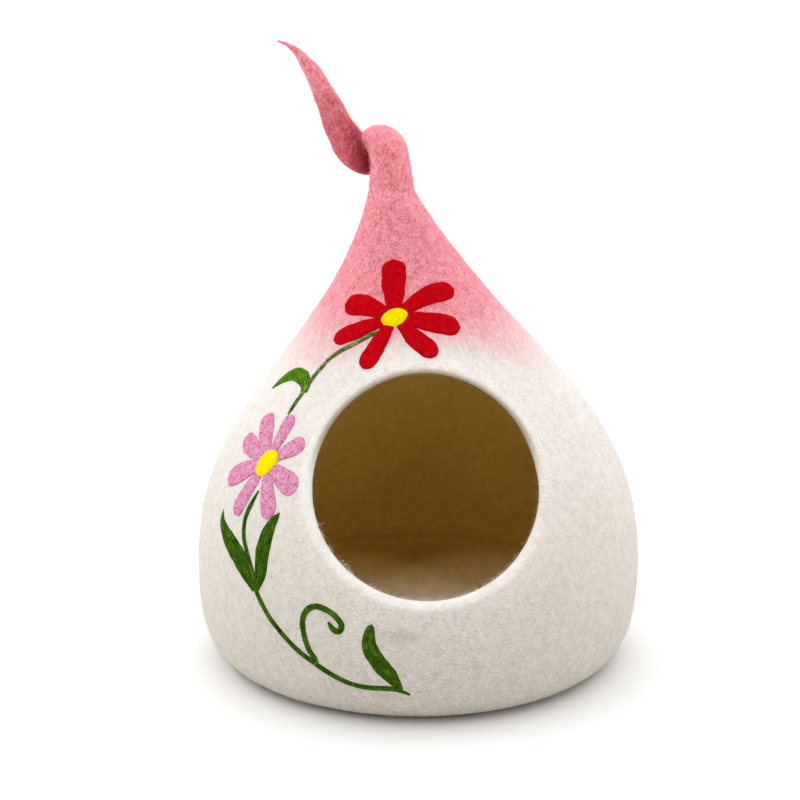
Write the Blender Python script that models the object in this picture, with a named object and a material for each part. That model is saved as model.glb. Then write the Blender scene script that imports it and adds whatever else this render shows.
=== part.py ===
"""Felted wool cat cave.

One thick felt shell in the shape of a drop, with a flat base, a round entrance in its
sloping front and a tail that is folded over at the top. Flat felt flowers, stems and
leaves are needled to its front.

Metres, +Z up. The origin is the middle of the flat base. The entrance faces -Y, and +X
is on the right of someone who looks into it. A place on the shell is given by its
azimuth, in degrees from the front and growing towards +X, and by its height.
"""

import math

import bmesh
import bpy
import numpy as np
from mathutils import Matrix, Vector
from mathutils.geometry import interpolate_bezier

# The body's outer side, from its base up to its neck
BELLY_RADIUS = 0.2105
BELLY_HEIGHT = 0.090
BASE_RADIUS = 0.1648
FOOT_ROUNDNESS = 2.6
BELLY_HANDLE = 0.156
CONE_HANDLE_RADIUS = 0.0855
CONE_HANDLE_HEIGHT = 0.293
NECK_RADIUS = 0.0212
NECK_HEIGHT = 0.447

# The axis leans to one side above the shoulder
LEAN = 0.025
LEAN_FROM = 0.20
LEAN_OVER = 0.25
LEAN_POWER = 2

# Hand felting leaves the round slightly uneven: waves around, share of the radius, turn
UNEVEN = (
    (2, 0.004, 1.1),
    (3, 0.003, 2.6),
    (5, 0.0015, 0.4),
)

# The felt wall, the floor and the space inside
FELT = 0.010
FLOOR_RISE = 0.016
FLOOR_RISE_POWER = 6
FLOOR_CORNER_RADIUS = 0.187
FLOOR_RINGS = (0.62, 0.84, 1.0)
INNER_WALL_FROM = 0.030
INNER_WALL_TO = 0.402
INNER_CROWN = 0.024

# The entrance: a round hole square to the sloping front, with a soft rolled edge
ENTRANCE_RADIUS = 0.1035
ENTRANCE_TILT = math.radians(28)
ENTRANCE_MIDDLE = Vector((0.0013, -0.160, 0.214))
RIM_THICKNESS = 0.0115

# The tail goes up from the neck and folds over to the back; its strand comes out on the
# left and tapers upwards. Columns: across, back, height, half width, half depth
FOLD = (
    (-0.0244, 0.0000, 0.4470, 0.0212, 0.0212),
    (-0.0248, 0.0004, 0.4600, 0.0198, 0.0193),
    (-0.0255, 0.0022, 0.4742, 0.0193, 0.0160),
    (-0.0290, 0.0080, 0.4876, 0.0194, 0.0138),
    (-0.0338, 0.0185, 0.4917, 0.0184, 0.0126),
    (-0.0325, 0.0295, 0.4850, 0.0130, 0.0112),
    (-0.0322, 0.0355, 0.4735, 0.0115, 0.0105),
    (-0.0330, 0.0365, 0.4640, 0.0105, 0.0095),
    (-0.0335, 0.0368, 0.4570, 0.0070, 0.0060),
)
STRAND = (
    (-0.0320, 0.0320, 0.4735, 0.0100, 0.0090),
    (-0.0400, 0.0345, 0.4725, 0.0172, 0.0142),
    (-0.0480, 0.0360, 0.4732, 0.0184, 0.0150),
    (-0.0562, 0.0370, 0.4772, 0.0174, 0.0148),
    (-0.0628, 0.0380, 0.4842, 0.0161, 0.0144),
    (-0.0680, 0.0380, 0.4930, 0.0145, 0.0138),
    (-0.0734, 0.0350, 0.5028, 0.0133, 0.0126),
    (-0.0784, 0.0305, 0.5166, 0.0120, 0.0114),
    (-0.0838, 0.0265, 0.5286, 0.0105, 0.0101),
    (-0.0890, 0.0225, 0.5404, 0.0091, 0.0089),
    (-0.0954, 0.0190, 0.5535, 0.0078, 0.0075),
    (-0.1020, 0.0165, 0.5630, 0.0059, 0.0057),
    (-0.1070, 0.0145, 0.5702, 0.0044, 0.0043),
    (-0.1122, 0.0130, 0.5757, 0.0031, 0.0030),
    (-0.1197, 0.0110, 0.5811, 0.0017, 0.0017),
    (-0.1272, 0.0100, 0.5840, 0.0009, 0.0009),
)

# The fold's left side is the higher one: its width way starts turned by this share
FOLD_ROLL = 0.75

# How finely the shell is divided
COLUMNS = 40
ROW_STEP = 0.019
TAIL_COLUMNS = 20
TAIL_STEP = 0.0075
OUTLINE_STEPS = 120
ENTRANCE_COLUMNS = 5
ENTRANCE_FROM_HEIGHT = 0.104
ENTRANCE_TO_HEIGHT = 0.332
RIM_STEPS = 4
CROWN_STEPS = 3

# The needled pieces
GAP = 0.0006
PETAL_THICKNESS = 0.0025
CENTRE_THICKNESS = 0.0040
LEAF_THICKNESS = 0.0022
STEM_THICKNESS = 0.0020
EDGE_SHARE = 0.55
PETAL_STATIONS = 9
LEAF_STATIONS = 11
CENTRE_STATIONS = 9
STEM_STEP = 0.007
LEAST_HALF_WIDTH = 0.0008
STEM_END_SHARE = 0.4
STEM_END_TAPER = 12
STEM_ROUTE_STEP = 0.002
CREASE_ANGLE = math.radians(50)

# Each flower lies flat in its own plane, square to the shell at its centre: across and up
# in millimetres from there. Columns: base across, base up, tip across, tip up, width
RED_FLOWER = {"azimuth": -11.4, "height": 0.347}
RED_CENTRE = {"half_length": 0.0126, "half_width": 0.0100, "turn": math.radians(25)}
RED_PETALS = (
    (-2, 15, -6.5, 55, 20.5),
    (13, 11.5, 48.5, 36.5, 17),
    (15.5, -1, 57.5, -0.5, 18.5),
    (10, -12, 39.5, -29.5, 16.5),
    (-6.5, -14.5, -24, -49, 15.5),
    (-16, -6.5, -57, -18, 14.5),
    (-15, 5.5, -49, 15, 19),
)
PINK_FLOWER = {"azimuth": -53.6, "height": 0.219}
PINK_CENTRE = {"half_length": 0.0134, "half_width": 0.0134, "turn": 0.0}
PINK_PETALS = (
    (-10.5, 14.5, -33, 40.5, 19),
    (1.5, 17.5, 4, 49, 15),
    (12.5, 12.5, 33, 31, 16.5),
    (17.5, -4, 45.5, -12.5, 19.5),
    (10.5, -14.5, 28, -43.5, 16),
    (-5, -17.5, -21, -54, 17),
    (-15, -10.5, -53.5, -29, 18.5),
    (-17.5, 3, -51.5, 13.5, 18.5),
)
PETAL_BASE_SHARE = 0.30
PETAL_FULLEST = 0.72
PETAL_TIP_REACH = 1.03

# Stems and leaves run along routes on the shell: azimuth and height
UPPER_STEM = (
    (-24.6, 0.3320),
    (-30.5, 0.3270),
    (-36.6, 0.3211),
    (-41.6, 0.3156),
    (-45.7, 0.3092),
    (-48.4, 0.3010),
    (-49.9, 0.2950),
    (-51.0, 0.2885),
    (-51.9, 0.2810),
    (-52.9, 0.2730),
    (-53.3, 0.2690),
)
LOWER_STEM = (
    (-54.3, 0.1802),
    (-54.9, 0.1720),
    (-54.3, 0.1600),
    (-52.4, 0.1480),
    (-49.7, 0.1360),
    (-47.6, 0.1250),
    (-46.6, 0.1140),
    (-44.6, 0.1030),
    (-41.2, 0.0890),
    (-36.8, 0.0745),
    (-32.3, 0.0620),
    (-27.1, 0.0525),
    (-21.9, 0.0440),
    (-16.8, 0.0385),
    (-11.7, 0.0375),
    (-7.5, 0.0365),
    (-4.2, 0.0335),
)
TENDRIL = (
    (-28.6, 0.0610),
    (-29.9, 0.0690),
    (-31.0, 0.0780),
    (-31.5, 0.0870),
    (-31.4, 0.0960),
    (-30.8, 0.1040),
    (-29.4, 0.1100),
    (-27.4, 0.1120),
    (-25.3, 0.1115),
    (-23.2, 0.1085),
    (-21.6, 0.1035),
    (-20.8, 0.0975),
    (-21.2, 0.0920),
    (-22.5, 0.0895),
    (-23.8, 0.0915),
    (-24.4, 0.0970),
)
STEM_WIDTH = 0.0038
TENDRIL_WIDTH = 0.0046

# Columns of the leaves: their route from base to tip, width, and where they are widest
LEAVES = {
    "crescent_leaf": (
        ((-54.0, 0.2858), (-57.2, 0.2884), (-63.1, 0.2887), (-68.6, 0.2833),
         (-72.2, 0.2763), (-74.4, 0.2705)),
        0.0135, 0.28,
    ),
    "left_leaf": (
        ((-49.0, 0.1165), (-52.9, 0.1270), (-57.0, 0.1355), (-61.5, 0.1430),
         (-65.0, 0.1540), (-66.2, 0.1650)),
        0.0190, 0.42,
    ),
    "right_leaf": (
        ((-45.0, 0.1160), (-44.8, 0.1280), (-45.2, 0.1430), (-45.3, 0.1580),
         (-44.4, 0.1710), (-42.8, 0.1835)),
        0.0165, 0.48,
    ),
    "end_leaf": (
        ((-7.2, 0.0420), (-9.2, 0.0540), (-11.2, 0.0630), (-12.8, 0.0720),
         (-13.8, 0.0830), (-13.6, 0.0930), (-13.2, 0.1005)),
        0.0160, 0.40,
    ),
}

# Name of each felt: colour, roughness
FELTS = {
    "natural_white_felt": ((0.79, 0.76, 0.70), 0.95),
    "red_felt": ((0.56, 0.005, 0.015), 0.9),
    "pink_felt": ((0.75, 0.27, 0.50), 0.9),
    "yellow_felt": ((0.90, 0.64, 0.01), 0.9),
    "green_felt": ((0.045, 0.15, 0.01), 0.9),
}


def clear_scene():
    for item in list(bpy.data.objects):
        bpy.data.objects.remove(item, do_unlink=True)


def felt_material(name):
    colour, roughness = FELTS[name]
    material = bpy.data.materials.new(name)
    material.use_nodes = True
    surface = material.node_tree.nodes["Principled BSDF"]
    surface.inputs["Base Color"].default_value = (*colour, 1.0)
    surface.inputs["Roughness"].default_value = roughness
    surface.inputs["Metallic"].default_value = 0.0
    return material


def smooth_route(points, step):
    """Points about one step apart on a smooth curve through the given ones."""
    points = np.asarray(points, float)
    before = 2 * points[0] - points[1]
    after = 2 * points[-1] - points[-2]
    padded = np.vstack([before, points, after])
    curve = [points[0]]
    for a, b, c, d in zip(padded, padded[1:], padded[2:], padded[3:]):
        count = max(1, round(np.linalg.norm((c - b)[:3]) / step))
        for part in range(1, count + 1):
            t = part / count
            bend = (2 * a - 5 * b + 4 * c - d) * t**2 + (3 * b - a - 3 * c + d) * t**3
            curve.append(0.5 * (2 * b + (c - a) * t + bend))
    return np.array(curve)


# The skin: where the body's outer side lies


def body_outline():
    """Heights and radii of the outer side, from the edge of the base to the neck."""
    power = 2 / FOOT_ROUNDNESS
    outline = []
    for step in range(OUTLINE_STEPS):
        turn = 0.5 * math.pi * step / OUTLINE_STEPS
        height = BELLY_HEIGHT * (1 - math.cos(turn) ** power)
        radius = BASE_RADIUS + (BELLY_RADIUS - BASE_RADIUS) * math.sin(turn) ** power
        outline.append((height, radius))
    side = interpolate_bezier(
        Vector((BELLY_HEIGHT, BELLY_RADIUS)),
        Vector((BELLY_HEIGHT + BELLY_HANDLE, BELLY_RADIUS)),
        Vector((CONE_HANDLE_HEIGHT, CONE_HANDLE_RADIUS)),
        Vector((NECK_HEIGHT, NECK_RADIUS)),
        OUTLINE_STEPS,
    )
    outline.extend(tuple(point) for point in side)
    return np.array(outline)


OUTLINE = body_outline()


def radius_at(azimuth, height):
    radius = np.interp(height, OUTLINE[:, 0], OUTLINE[:, 1])
    swell = sum(
        share * math.sin(waves * math.radians(azimuth) + turn)
        for waves, share, turn in UNEVEN
    )
    return radius * (1 + swell)


def axis_at(height):
    """Where the leaning axis is at a height."""
    climbed = max(0.0, height - LEAN_FROM) / LEAN_OVER
    return Vector((-LEAN * climbed**LEAN_POWER, 0.0, height))


def around(azimuth):
    turn = math.radians(azimuth)
    return Vector((math.sin(turn), -math.cos(turn), 0.0))


def on_skin(azimuth, height):
    return axis_at(height) + around(azimuth) * radius_at(azimuth, height)


def azimuth_of(point):
    offset = point - axis_at(point.z)
    return math.degrees(math.atan2(offset.x, -offset.y))


def outward(point, nudge=0.0005):
    """The direction square to the skin, away from the body, at a point of the skin."""
    azimuth = azimuth_of(point)
    low = max(point.z - nudge, 0.0)
    high = min(point.z + nudge, NECK_HEIGHT)
    upwards = on_skin(azimuth, high) - on_skin(azimuth, low)
    sideways = on_skin(azimuth + 0.2, point.z) - on_skin(azimuth - 0.2, point.z)
    return sideways.cross(upwards).normalized()


def is_inside(point):
    offset = point - axis_at(point.z)
    return offset.xy.length < radius_at(azimuth_of(point), point.z)


def land(point, direction, reach=0.06):
    """Slides a point along a direction until it meets the skin."""
    inner, outer = -reach, reach
    for _ in range(40):
        middle = 0.5 * (inner + outer)
        if is_inside(point + direction * middle):
            inner = middle
        else:
            outer = middle
    return point + direction * inner


# Rings of vertices, which the shell is lofted from


def add_ring(mesh, points, filled=False):
    made = bmesh.ops.create_circle(
        mesh, cap_ends=filled, segments=len(points), radius=1.0
    )["verts"]
    ring = sorted(made, key=lambda vertex: math.atan2(vertex.co.y, vertex.co.x))
    for vertex, point in zip(ring, points):
        vertex.co = point
    return ring


def ring_edges(mesh, ring):
    following = ring[1:] + ring[:1]
    return [mesh.edges.get(pair) for pair in zip(ring, following)]


def loft(mesh, rings):
    for lower, upper in zip(rings, rings[1:]):
        edges = ring_edges(mesh, lower) + ring_edges(mesh, upper)
        bmesh.ops.bridge_loops(mesh, edges=edges)


def column_azimuths():
    return [360.0 * (column - ENTRANCE_COLUMNS) / COLUMNS for column in range(COLUMNS)]


def row_heights():
    """Heights of the body's rows, evenly spaced along its outline."""
    lengths = np.linalg.norm(np.diff(OUTLINE, axis=0), axis=1)
    along = np.concatenate([[0.0], np.cumsum(lengths)])
    count = round(along[-1] / ROW_STEP)
    return np.interp(np.linspace(0, along[-1], count + 1), along, OUTLINE[:, 0])


def inner_point(azimuth, height):
    point = on_skin(azimuth, height)
    return point - outward(point) * FELT


# The entrance

ENTRANCE_OUT = Vector((0.0, -math.cos(ENTRANCE_TILT), math.sin(ENTRANCE_TILT)))
ENTRANCE_UP = Vector((0.0, math.sin(ENTRANCE_TILT), math.cos(ENTRANCE_TILT)))
ENTRANCE_SIDE = Vector((1.0, 0.0, 0.0))


def entrance_place(point):
    """Distance from the entrance's axis, and the direction from it."""
    offset = point - ENTRANCE_MIDDLE
    across = offset.dot(ENTRANCE_SIDE)
    up = offset.dot(ENTRANCE_UP)
    distance = math.hypot(across, up)
    return distance, (ENTRANCE_SIDE * across + ENTRANCE_UP * up) / distance


def skin_by_entrance(distance, direction):
    return land(ENTRANCE_MIDDLE + direction * distance, ENTRANCE_OUT)


def entrance_rings(outer_loop, inner_loop):
    """Points of the rings from the outer opening in the rows, round the rim, to the inner."""
    directions = [entrance_place(point)[1] for point in outer_loop]
    roll = 0.5 * RIM_THICKNESS
    start = ENTRANCE_RADIUS + roll
    rings = []
    halfway = []
    for point, direction in zip(outer_loop, directions):
        distance = 0.5 * (entrance_place(point)[0] + start)
        halfway.append(skin_by_entrance(distance, direction))
    rings.append(halfway)
    for step in range(RIM_STEPS + 1):
        turn = math.pi * step / RIM_STEPS
        ring = []
        for direction in directions:
            top = skin_by_entrance(start, direction)
            square = outward(top)
            outwards = (direction - square * direction.dot(square)).normalized()
            middle = top - square * (0.5 * FELT)
            ring.append(
                middle
                + square * (roll * math.cos(turn))
                - outwards * (roll * math.sin(turn))
            )
        rings.append(ring)
    inside = [
        0.5 * (Vector(point) + last) for point, last in zip(inner_loop, rings[-1])
    ]
    rings.append(inside)
    return rings


def opening_loop(rings, first_row, last_row):
    """The vertices round a block of the rows in front of the entrance, in order."""
    last_column = 2 * ENTRANCE_COLUMNS
    loop = [rings[first_row][column] for column in range(last_column)]
    loop += [rings[row][last_column] for row in range(first_row, last_row)]
    loop += [rings[last_row][column] for column in range(last_column, 0, -1)]
    loop += [rings[row][0] for row in range(last_row, first_row, -1)]
    return loop


def open_block(mesh, rings, first_row, last_row):
    """Takes the faces of the block away."""
    block = {
        rings[row][column]
        for row in range(first_row, last_row + 1)
        for column in range(2 * ENTRANCE_COLUMNS + 1)
    }
    faces = [face for face in mesh.faces if all(v in block for v in face.verts)]
    bmesh.ops.delete(mesh, geom=faces, context="FACES")


# The tail


def sections_along(table, width_way):
    """Rings of points across a part of the tail, square to its path."""
    path = smooth_route(table, TAIL_STEP)
    sections = []
    for index, row in enumerate(path):
        ahead = path[min(index + 1, len(path) - 1)]
        behind = path[max(index - 1, 0)]
        heading = Vector(ahead[:3] - behind[:3]).normalized()
        width_way = (width_way - heading * width_way.dot(heading)).normalized()
        depth_way = heading.cross(width_way)
        middle = Vector(row[:3])
        ring = []
        for column in range(TAIL_COLUMNS):
            turn = 2 * math.pi * column / TAIL_COLUMNS
            ring.append(
                middle
                + width_way * (row[3] * math.cos(turn))
                + depth_way * (row[4] * math.sin(turn))
            )
        sections.append(ring)
    return sections


def build_strand():
    """The strand of the tail, which the shell is joined with."""
    sections = sections_along(STRAND, Vector((0.0, 0.0, 1.0)))
    ends = (sections[0], sections[-1])
    mesh = bmesh.new()
    loft(mesh, [add_ring(mesh, section, filled=section in ends) for section in sections])
    bmesh.ops.recalc_face_normals(mesh, faces=mesh.faces)
    strand = finished("tail_strand", mesh, "natural_white_felt")
    strand.hide_render = True
    strand.display_type = "WIRE"
    return strand


# The shell


def floor_ring(radius):
    rise = FLOOR_RISE * (radius / FLOOR_CORNER_RADIUS) ** FLOOR_RISE_POWER
    height = FELT + rise
    return [around(azimuth) * radius + Vector((0, 0, height)) for azimuth in column_azimuths()]


def crown_rings(top_ring):
    """Rings that close the space inside over its highest wall ring."""
    middle = sum(top_ring, Vector()) / len(top_ring)
    rings = []
    for step in range(1, CROWN_STEPS + 1):
        turn = 0.5 * math.pi * step / (CROWN_STEPS + 1)
        lift = Vector((0, 0, INNER_CROWN * math.sin(turn)))
        rings.append([middle + (point - middle) * math.cos(turn) + lift for point in top_ring])
    return rings


def build_shell():
    mesh = bmesh.new()
    heights = row_heights()
    azimuths = column_azimuths()

    outer = [
        add_ring(mesh, [on_skin(azimuth, height) for azimuth in azimuths], filled=row == 0)
        for row, height in enumerate(heights)
    ]
    loft(mesh, outer)

    sections = sections_along(FOLD, Vector((1.0, FOLD_ROLL, 0.0)))
    fold = [add_ring(mesh, section) for section in sections[1:-1]]
    fold.append(add_ring(mesh, sections[-1], filled=True))
    loft(mesh, [outer[-1]] + fold)

    wall_rows = [
        row for row, height in enumerate(heights) if INNER_WALL_FROM < height < INNER_WALL_TO
    ]
    wall = {
        row: add_ring(mesh, [inner_point(azimuth, heights[row]) for azimuth in azimuths])
        for row in wall_rows
    }
    floor = [
        add_ring(mesh, floor_ring(share * FLOOR_CORNER_RADIUS), filled=share == FLOOR_RINGS[0])
        for share in FLOOR_RINGS
    ]
    crown_points = crown_rings([vertex.co.copy() for vertex in wall[wall_rows[-1]]])
    crown = [
        add_ring(mesh, points, filled=points is crown_points[-1]) for points in crown_points
    ]
    loft(mesh, floor + list(wall.values()) + crown)

    first_row = int(np.argmin(abs(heights - ENTRANCE_FROM_HEIGHT)))
    last_row = int(np.argmin(abs(heights - ENTRANCE_TO_HEIGHT)))
    outer_loop = opening_loop(outer, first_row, last_row)
    inner_loop = opening_loop(wall, first_row, last_row)
    open_block(mesh, outer, first_row, last_row)
    open_block(mesh, wall, first_row, last_row)
    rim = entrance_rings([v.co for v in outer_loop], [v.co for v in inner_loop])
    loft(mesh, [outer_loop] + [add_ring(mesh, points) for points in rim] + [inner_loop])

    bmesh.ops.recalc_face_normals(mesh, faces=mesh.faces)
    shell = finished("shell", mesh, "natural_white_felt")
    joint = shell.modifiers.new("join_strand", "BOOLEAN")
    joint.operation = "UNION"
    joint.solver = "EXACT"
    joint.object = build_strand()
    return shell


# Needled pieces


def resampled(route, stations):
    """A route of points on the skin with evenly spaced stations."""
    route = np.array([tuple(point) for point in route])
    along = np.concatenate([[0.0], np.cumsum(np.linalg.norm(np.diff(route, axis=0), axis=1))])
    places = np.linspace(0, along[-1], stations)
    columns = [np.interp(places, along, route[:, axis]) for axis in range(3)]
    return [Vector(point) for point in zip(*columns)]


def needled_piece(name, route, stations, half_width, thickness, felt, across=2):
    """A flat felt piece that follows the skin along a route, as wide as half_width says."""
    spine = resampled(route, stations)
    mesh = bmesh.new()
    raise_share = mesh.verts.layers.float.new("raise_share")
    bmesh.ops.create_grid(mesh, x_segments=stations - 1, y_segments=across, size=1.0)
    for vertex in mesh.verts:
        along = 0.5 * (vertex.co.x + 1)
        sideways = vertex.co.y
        index = round(along * (stations - 1))
        ahead = spine[min(index + 1, stations - 1)]
        behind = spine[max(index - 1, 0)]
        square = outward(spine[index])
        side = square.cross((ahead - behind).normalized()).normalized()
        offset = side * (sideways * max(half_width(along), LEAST_HALF_WIDTH))
        point = land(spine[index] + offset, square, reach=0.01)
        vertex.co = point + outward(point) * GAP
        vertex[raise_share] = EDGE_SHARE if abs(sideways) > 0.5 else 1.0
    raised = bmesh.ops.extrude_face_region(mesh, geom=list(mesh.faces), use_keep_orig=True)
    tops = [item for item in raised["geom"] if isinstance(item, bmesh.types.BMVert)]
    for vertex in tops:
        vertex.co += outward(vertex.co) * (thickness * vertex[raise_share])
    bmesh.ops.recalc_face_normals(mesh, faces=mesh.faces)
    return finished(name, mesh, felt)


def petal_half_width(width):
    def half_width(along):
        swell = math.sin(0.5 * math.pi * min(along / PETAL_FULLEST, 1.0))
        past = max(0.0, along - PETAL_FULLEST) / (PETAL_TIP_REACH - PETAL_FULLEST)
        share = PETAL_BASE_SHARE + (1 - PETAL_BASE_SHARE) * swell
        return 0.5 * width * share * math.sqrt(1 - past**2)

    return half_width


def leaf_half_width(width, fullest):
    def half_width(along):
        rise = math.sin(0.5 * math.pi * min(along / fullest, 1.0))
        fall = math.cos(0.5 * math.pi * max(0.0, along - fullest) / (1 - fullest))
        return 0.5 * width * rise * fall

    return half_width


def oval_half_width(half_width):
    return lambda along: half_width * math.sqrt(max(0.0, 1 - (2 * along - 1) ** 2))


def even_half_width(width):
    def half_width(along):
        from_end = min(along, 1 - along)
        return 0.5 * width * min(1.0, STEM_END_SHARE + STEM_END_TAPER * from_end)

    return half_width


def flat_frame(flower):
    """The plane that a flower lies in: its middle, across, up and outward directions."""
    middle = on_skin(flower["azimuth"], flower["height"])
    square = outward(middle)
    across = Vector((0, 0, 1)).cross(square).normalized()
    return middle, across, square.cross(across), square


def flat_route(flower, start, end, steps=12):
    """A straight line in a flower's plane, laid on the skin. start and end are in metres."""
    middle, across, up, square = flat_frame(flower)
    route = []
    for step in range(steps + 1):
        place = Vector(start).lerp(Vector(end), step / steps)
        route.append(land(middle + across * place.x + up * place.y, square))
    return route


def build_flower(name, flower, centre, petals, felt):
    turn = Matrix.Rotation(centre["turn"], 2)
    reach = turn @ Vector((centre["half_length"], 0.0))
    needled_piece(
        f"{name}_flower_centre",
        flat_route(flower, -reach, reach),
        CENTRE_STATIONS,
        oval_half_width(centre["half_width"]),
        CENTRE_THICKNESS,
        "yellow_felt",
    )
    for number, (base_across, base_up, tip_across, tip_up, width) in enumerate(petals, 1):
        base = Vector((base_across, base_up)) / 1000
        tip = Vector((tip_across, tip_up)) / 1000
        needled_piece(
            f"{name}_petal_{number}",
            flat_route(flower, base, tip),
            PETAL_STATIONS,
            petal_half_width(width / 1000),
            PETAL_THICKNESS,
            felt,
        )


def skin_route(places):
    """A smooth route on the skin through places given by azimuth and height."""
    anchors = [tuple(on_skin(azimuth, height)) for azimuth, height in places]
    route = smooth_route(anchors, STEM_ROUTE_STEP)
    return [land(Vector(point), outward(Vector(point)), reach=0.01) for point in route]


def build_stem(name, places, width):
    route = skin_route(places)
    length = sum((b - a).length for a, b in zip(route, route[1:]))
    stations = round(length / STEM_STEP) + 1
    half_width = even_half_width(width)
    needled_piece(name, route, stations, half_width, STEM_THICKNESS, "green_felt", across=1)


def build_leaf(name):
    places, width, fullest = LEAVES[name]
    half_width = leaf_half_width(width, fullest)
    route = skin_route(places)
    needled_piece(name, route, LEAF_STATIONS, half_width, LEAF_THICKNESS, "green_felt")


def finished(name, mesh, felt):
    """Turns a finished mesh into a named object with its felt."""
    data = bpy.data.meshes.new(name)
    mesh.to_mesh(data)
    mesh.free()
    data.shade_smooth()
    data.set_sharp_from_angle(angle=CREASE_ANGLE)
    data.materials.append(bpy.data.materials.get(felt) or felt_material(felt))
    item = bpy.data.objects.new(name, data)
    bpy.context.scene.collection.objects.link(item)
    return item


clear_scene()
build_shell()
build_flower("red", RED_FLOWER, RED_CENTRE, RED_PETALS, "red_felt")
build_flower("pink", PINK_FLOWER, PINK_CENTRE, PINK_PETALS, "pink_felt")
build_stem("upper_stem", UPPER_STEM, STEM_WIDTH)
build_stem("lower_stem", LOWER_STEM, STEM_WIDTH)
build_stem("tendril", TENDRIL, TENDRIL_WIDTH)
for leaf in LEAVES:
    build_leaf(leaf)
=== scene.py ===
# %% [markdown]
# # A felted wool cat cave
#
# The real cave is one seamless shell: wet wool is laid round a drop-shaped resist and
# rubbed until it shrinks into a wall about a centimetre thick. The entrance is then cut
# into its sloping front and the cut edge is felted round. Flowers, stems and leaves are
# loose dyed wool, pricked into the shell with barbed needles.
#
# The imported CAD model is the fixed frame. It is loaded first, and every piece made here
# lies where the CAD says.

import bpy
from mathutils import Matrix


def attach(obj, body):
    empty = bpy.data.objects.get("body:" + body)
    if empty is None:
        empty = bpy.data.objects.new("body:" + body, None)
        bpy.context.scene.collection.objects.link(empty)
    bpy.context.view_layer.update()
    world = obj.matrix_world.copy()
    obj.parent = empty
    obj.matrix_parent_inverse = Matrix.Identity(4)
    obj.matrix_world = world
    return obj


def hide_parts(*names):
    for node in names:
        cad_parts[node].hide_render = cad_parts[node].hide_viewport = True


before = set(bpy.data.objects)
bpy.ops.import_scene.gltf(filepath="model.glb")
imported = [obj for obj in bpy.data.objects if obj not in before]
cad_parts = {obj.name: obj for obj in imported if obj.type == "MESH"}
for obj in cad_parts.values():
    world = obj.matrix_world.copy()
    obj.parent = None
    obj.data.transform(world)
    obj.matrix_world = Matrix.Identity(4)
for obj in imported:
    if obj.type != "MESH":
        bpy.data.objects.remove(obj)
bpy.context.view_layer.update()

# %% Tools
import math

import bmesh
import bpy
import numpy as np
from mathutils import Matrix, Vector, noise
from mathutils.geometry import interpolate_bezier
from mathutils.kdtree import KDTree

# %% [markdown]
# ## The skin of the shell
#
# Everything on the cave is placed on one surface, the outer side of the shell. It is a
# lathe shape whose axis leans to the left towards the top. A place on it is given by its
# azimuth, in degrees from the front and growing towards +X, and by its height in metres.
# The sizes are those of the CAD model.

# %% Sizes of the shell
BELLY_RADIUS = 0.2105
BELLY_HEIGHT = 0.090
BASE_RADIUS = 0.1648
FOOT_ROUNDNESS = 2.6
BELLY_HANDLE = 0.156
CONE_HANDLE_RADIUS = 0.0855
CONE_HANDLE_HEIGHT = 0.293
NECK_RADIUS = 0.0212
NECK_HEIGHT = 0.447
LEAN = 0.025
LEAN_FROM = 0.20
LEAN_OVER = 0.25
UNEVEN = (
    (2, 0.004, 1.1),
    (3, 0.003, 2.6),
    (5, 0.0015, 0.4),
)
FELT = 0.010
OUTLINE_STEPS = 120


# %% The outline, from the edge of the base to the neck
def body_outline():
    """Heights and radii of the outer side."""
    power = 2 / FOOT_ROUNDNESS
    outline = []
    for step in range(OUTLINE_STEPS):
        turn = 0.5 * math.pi * step / OUTLINE_STEPS
        height = BELLY_HEIGHT * (1 - math.cos(turn) ** power)
        radius = BASE_RADIUS + (BELLY_RADIUS - BASE_RADIUS) * math.sin(turn) ** power
        outline.append((height, radius))
    side = interpolate_bezier(
        Vector((BELLY_HEIGHT, BELLY_RADIUS)),
        Vector((BELLY_HEIGHT + BELLY_HANDLE, BELLY_RADIUS)),
        Vector((CONE_HANDLE_HEIGHT, CONE_HANDLE_RADIUS)),
        Vector((NECK_HEIGHT, NECK_RADIUS)),
        OUTLINE_STEPS,
    )
    outline.extend(tuple(point) for point in side)
    return np.array(outline)


OUTLINE = body_outline()
LENGTHS = np.linalg.norm(np.diff(OUTLINE, axis=0), axis=1)
ALONG = np.concatenate([[0.0], np.cumsum(LENGTHS)])
print(f"outline: {ALONG[-1]:.3f} m from base to neck")


# %% Places on the skin
HEIGHT_NUDGE = 0.0005
AZIMUTH_NUDGE = 0.2
LONG_REACH = 0.06
SHORT_REACH = 0.01
HALVINGS = 22


def radius_at(azimuth, height):
    radius = np.interp(height, OUTLINE[:, 0], OUTLINE[:, 1])
    swell = sum(
        share * math.sin(waves * math.radians(azimuth) + turn)
        for waves, share, turn in UNEVEN
    )
    return radius * (1 + swell)


def axis_at(height):
    """Where the leaning axis is at a height."""
    climbed = max(0.0, height - LEAN_FROM) / LEAN_OVER
    return Vector((-LEAN * climbed**2, 0.0, height))


def around(azimuth):
    turn = math.radians(azimuth)
    return Vector((math.sin(turn), -math.cos(turn), 0.0))


def on_skin(azimuth, height):
    return axis_at(height) + around(azimuth) * radius_at(azimuth, height)


def azimuth_of(point):
    offset = point - axis_at(point.z)
    return math.degrees(math.atan2(offset.x, -offset.y))


def outward(point):
    """The direction square to the skin, away from the body."""
    azimuth = azimuth_of(point)
    low = max(point.z - HEIGHT_NUDGE, 0.0)
    high = min(point.z + HEIGHT_NUDGE, NECK_HEIGHT)
    upwards = on_skin(azimuth, high) - on_skin(azimuth, low)
    left = on_skin(azimuth - AZIMUTH_NUDGE, point.z)
    right = on_skin(azimuth + AZIMUTH_NUDGE, point.z)
    return (right - left).cross(upwards).normalized()


def is_inside(point):
    offset = point - axis_at(point.z)
    return offset.xy.length < radius_at(azimuth_of(point), point.z)


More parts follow.
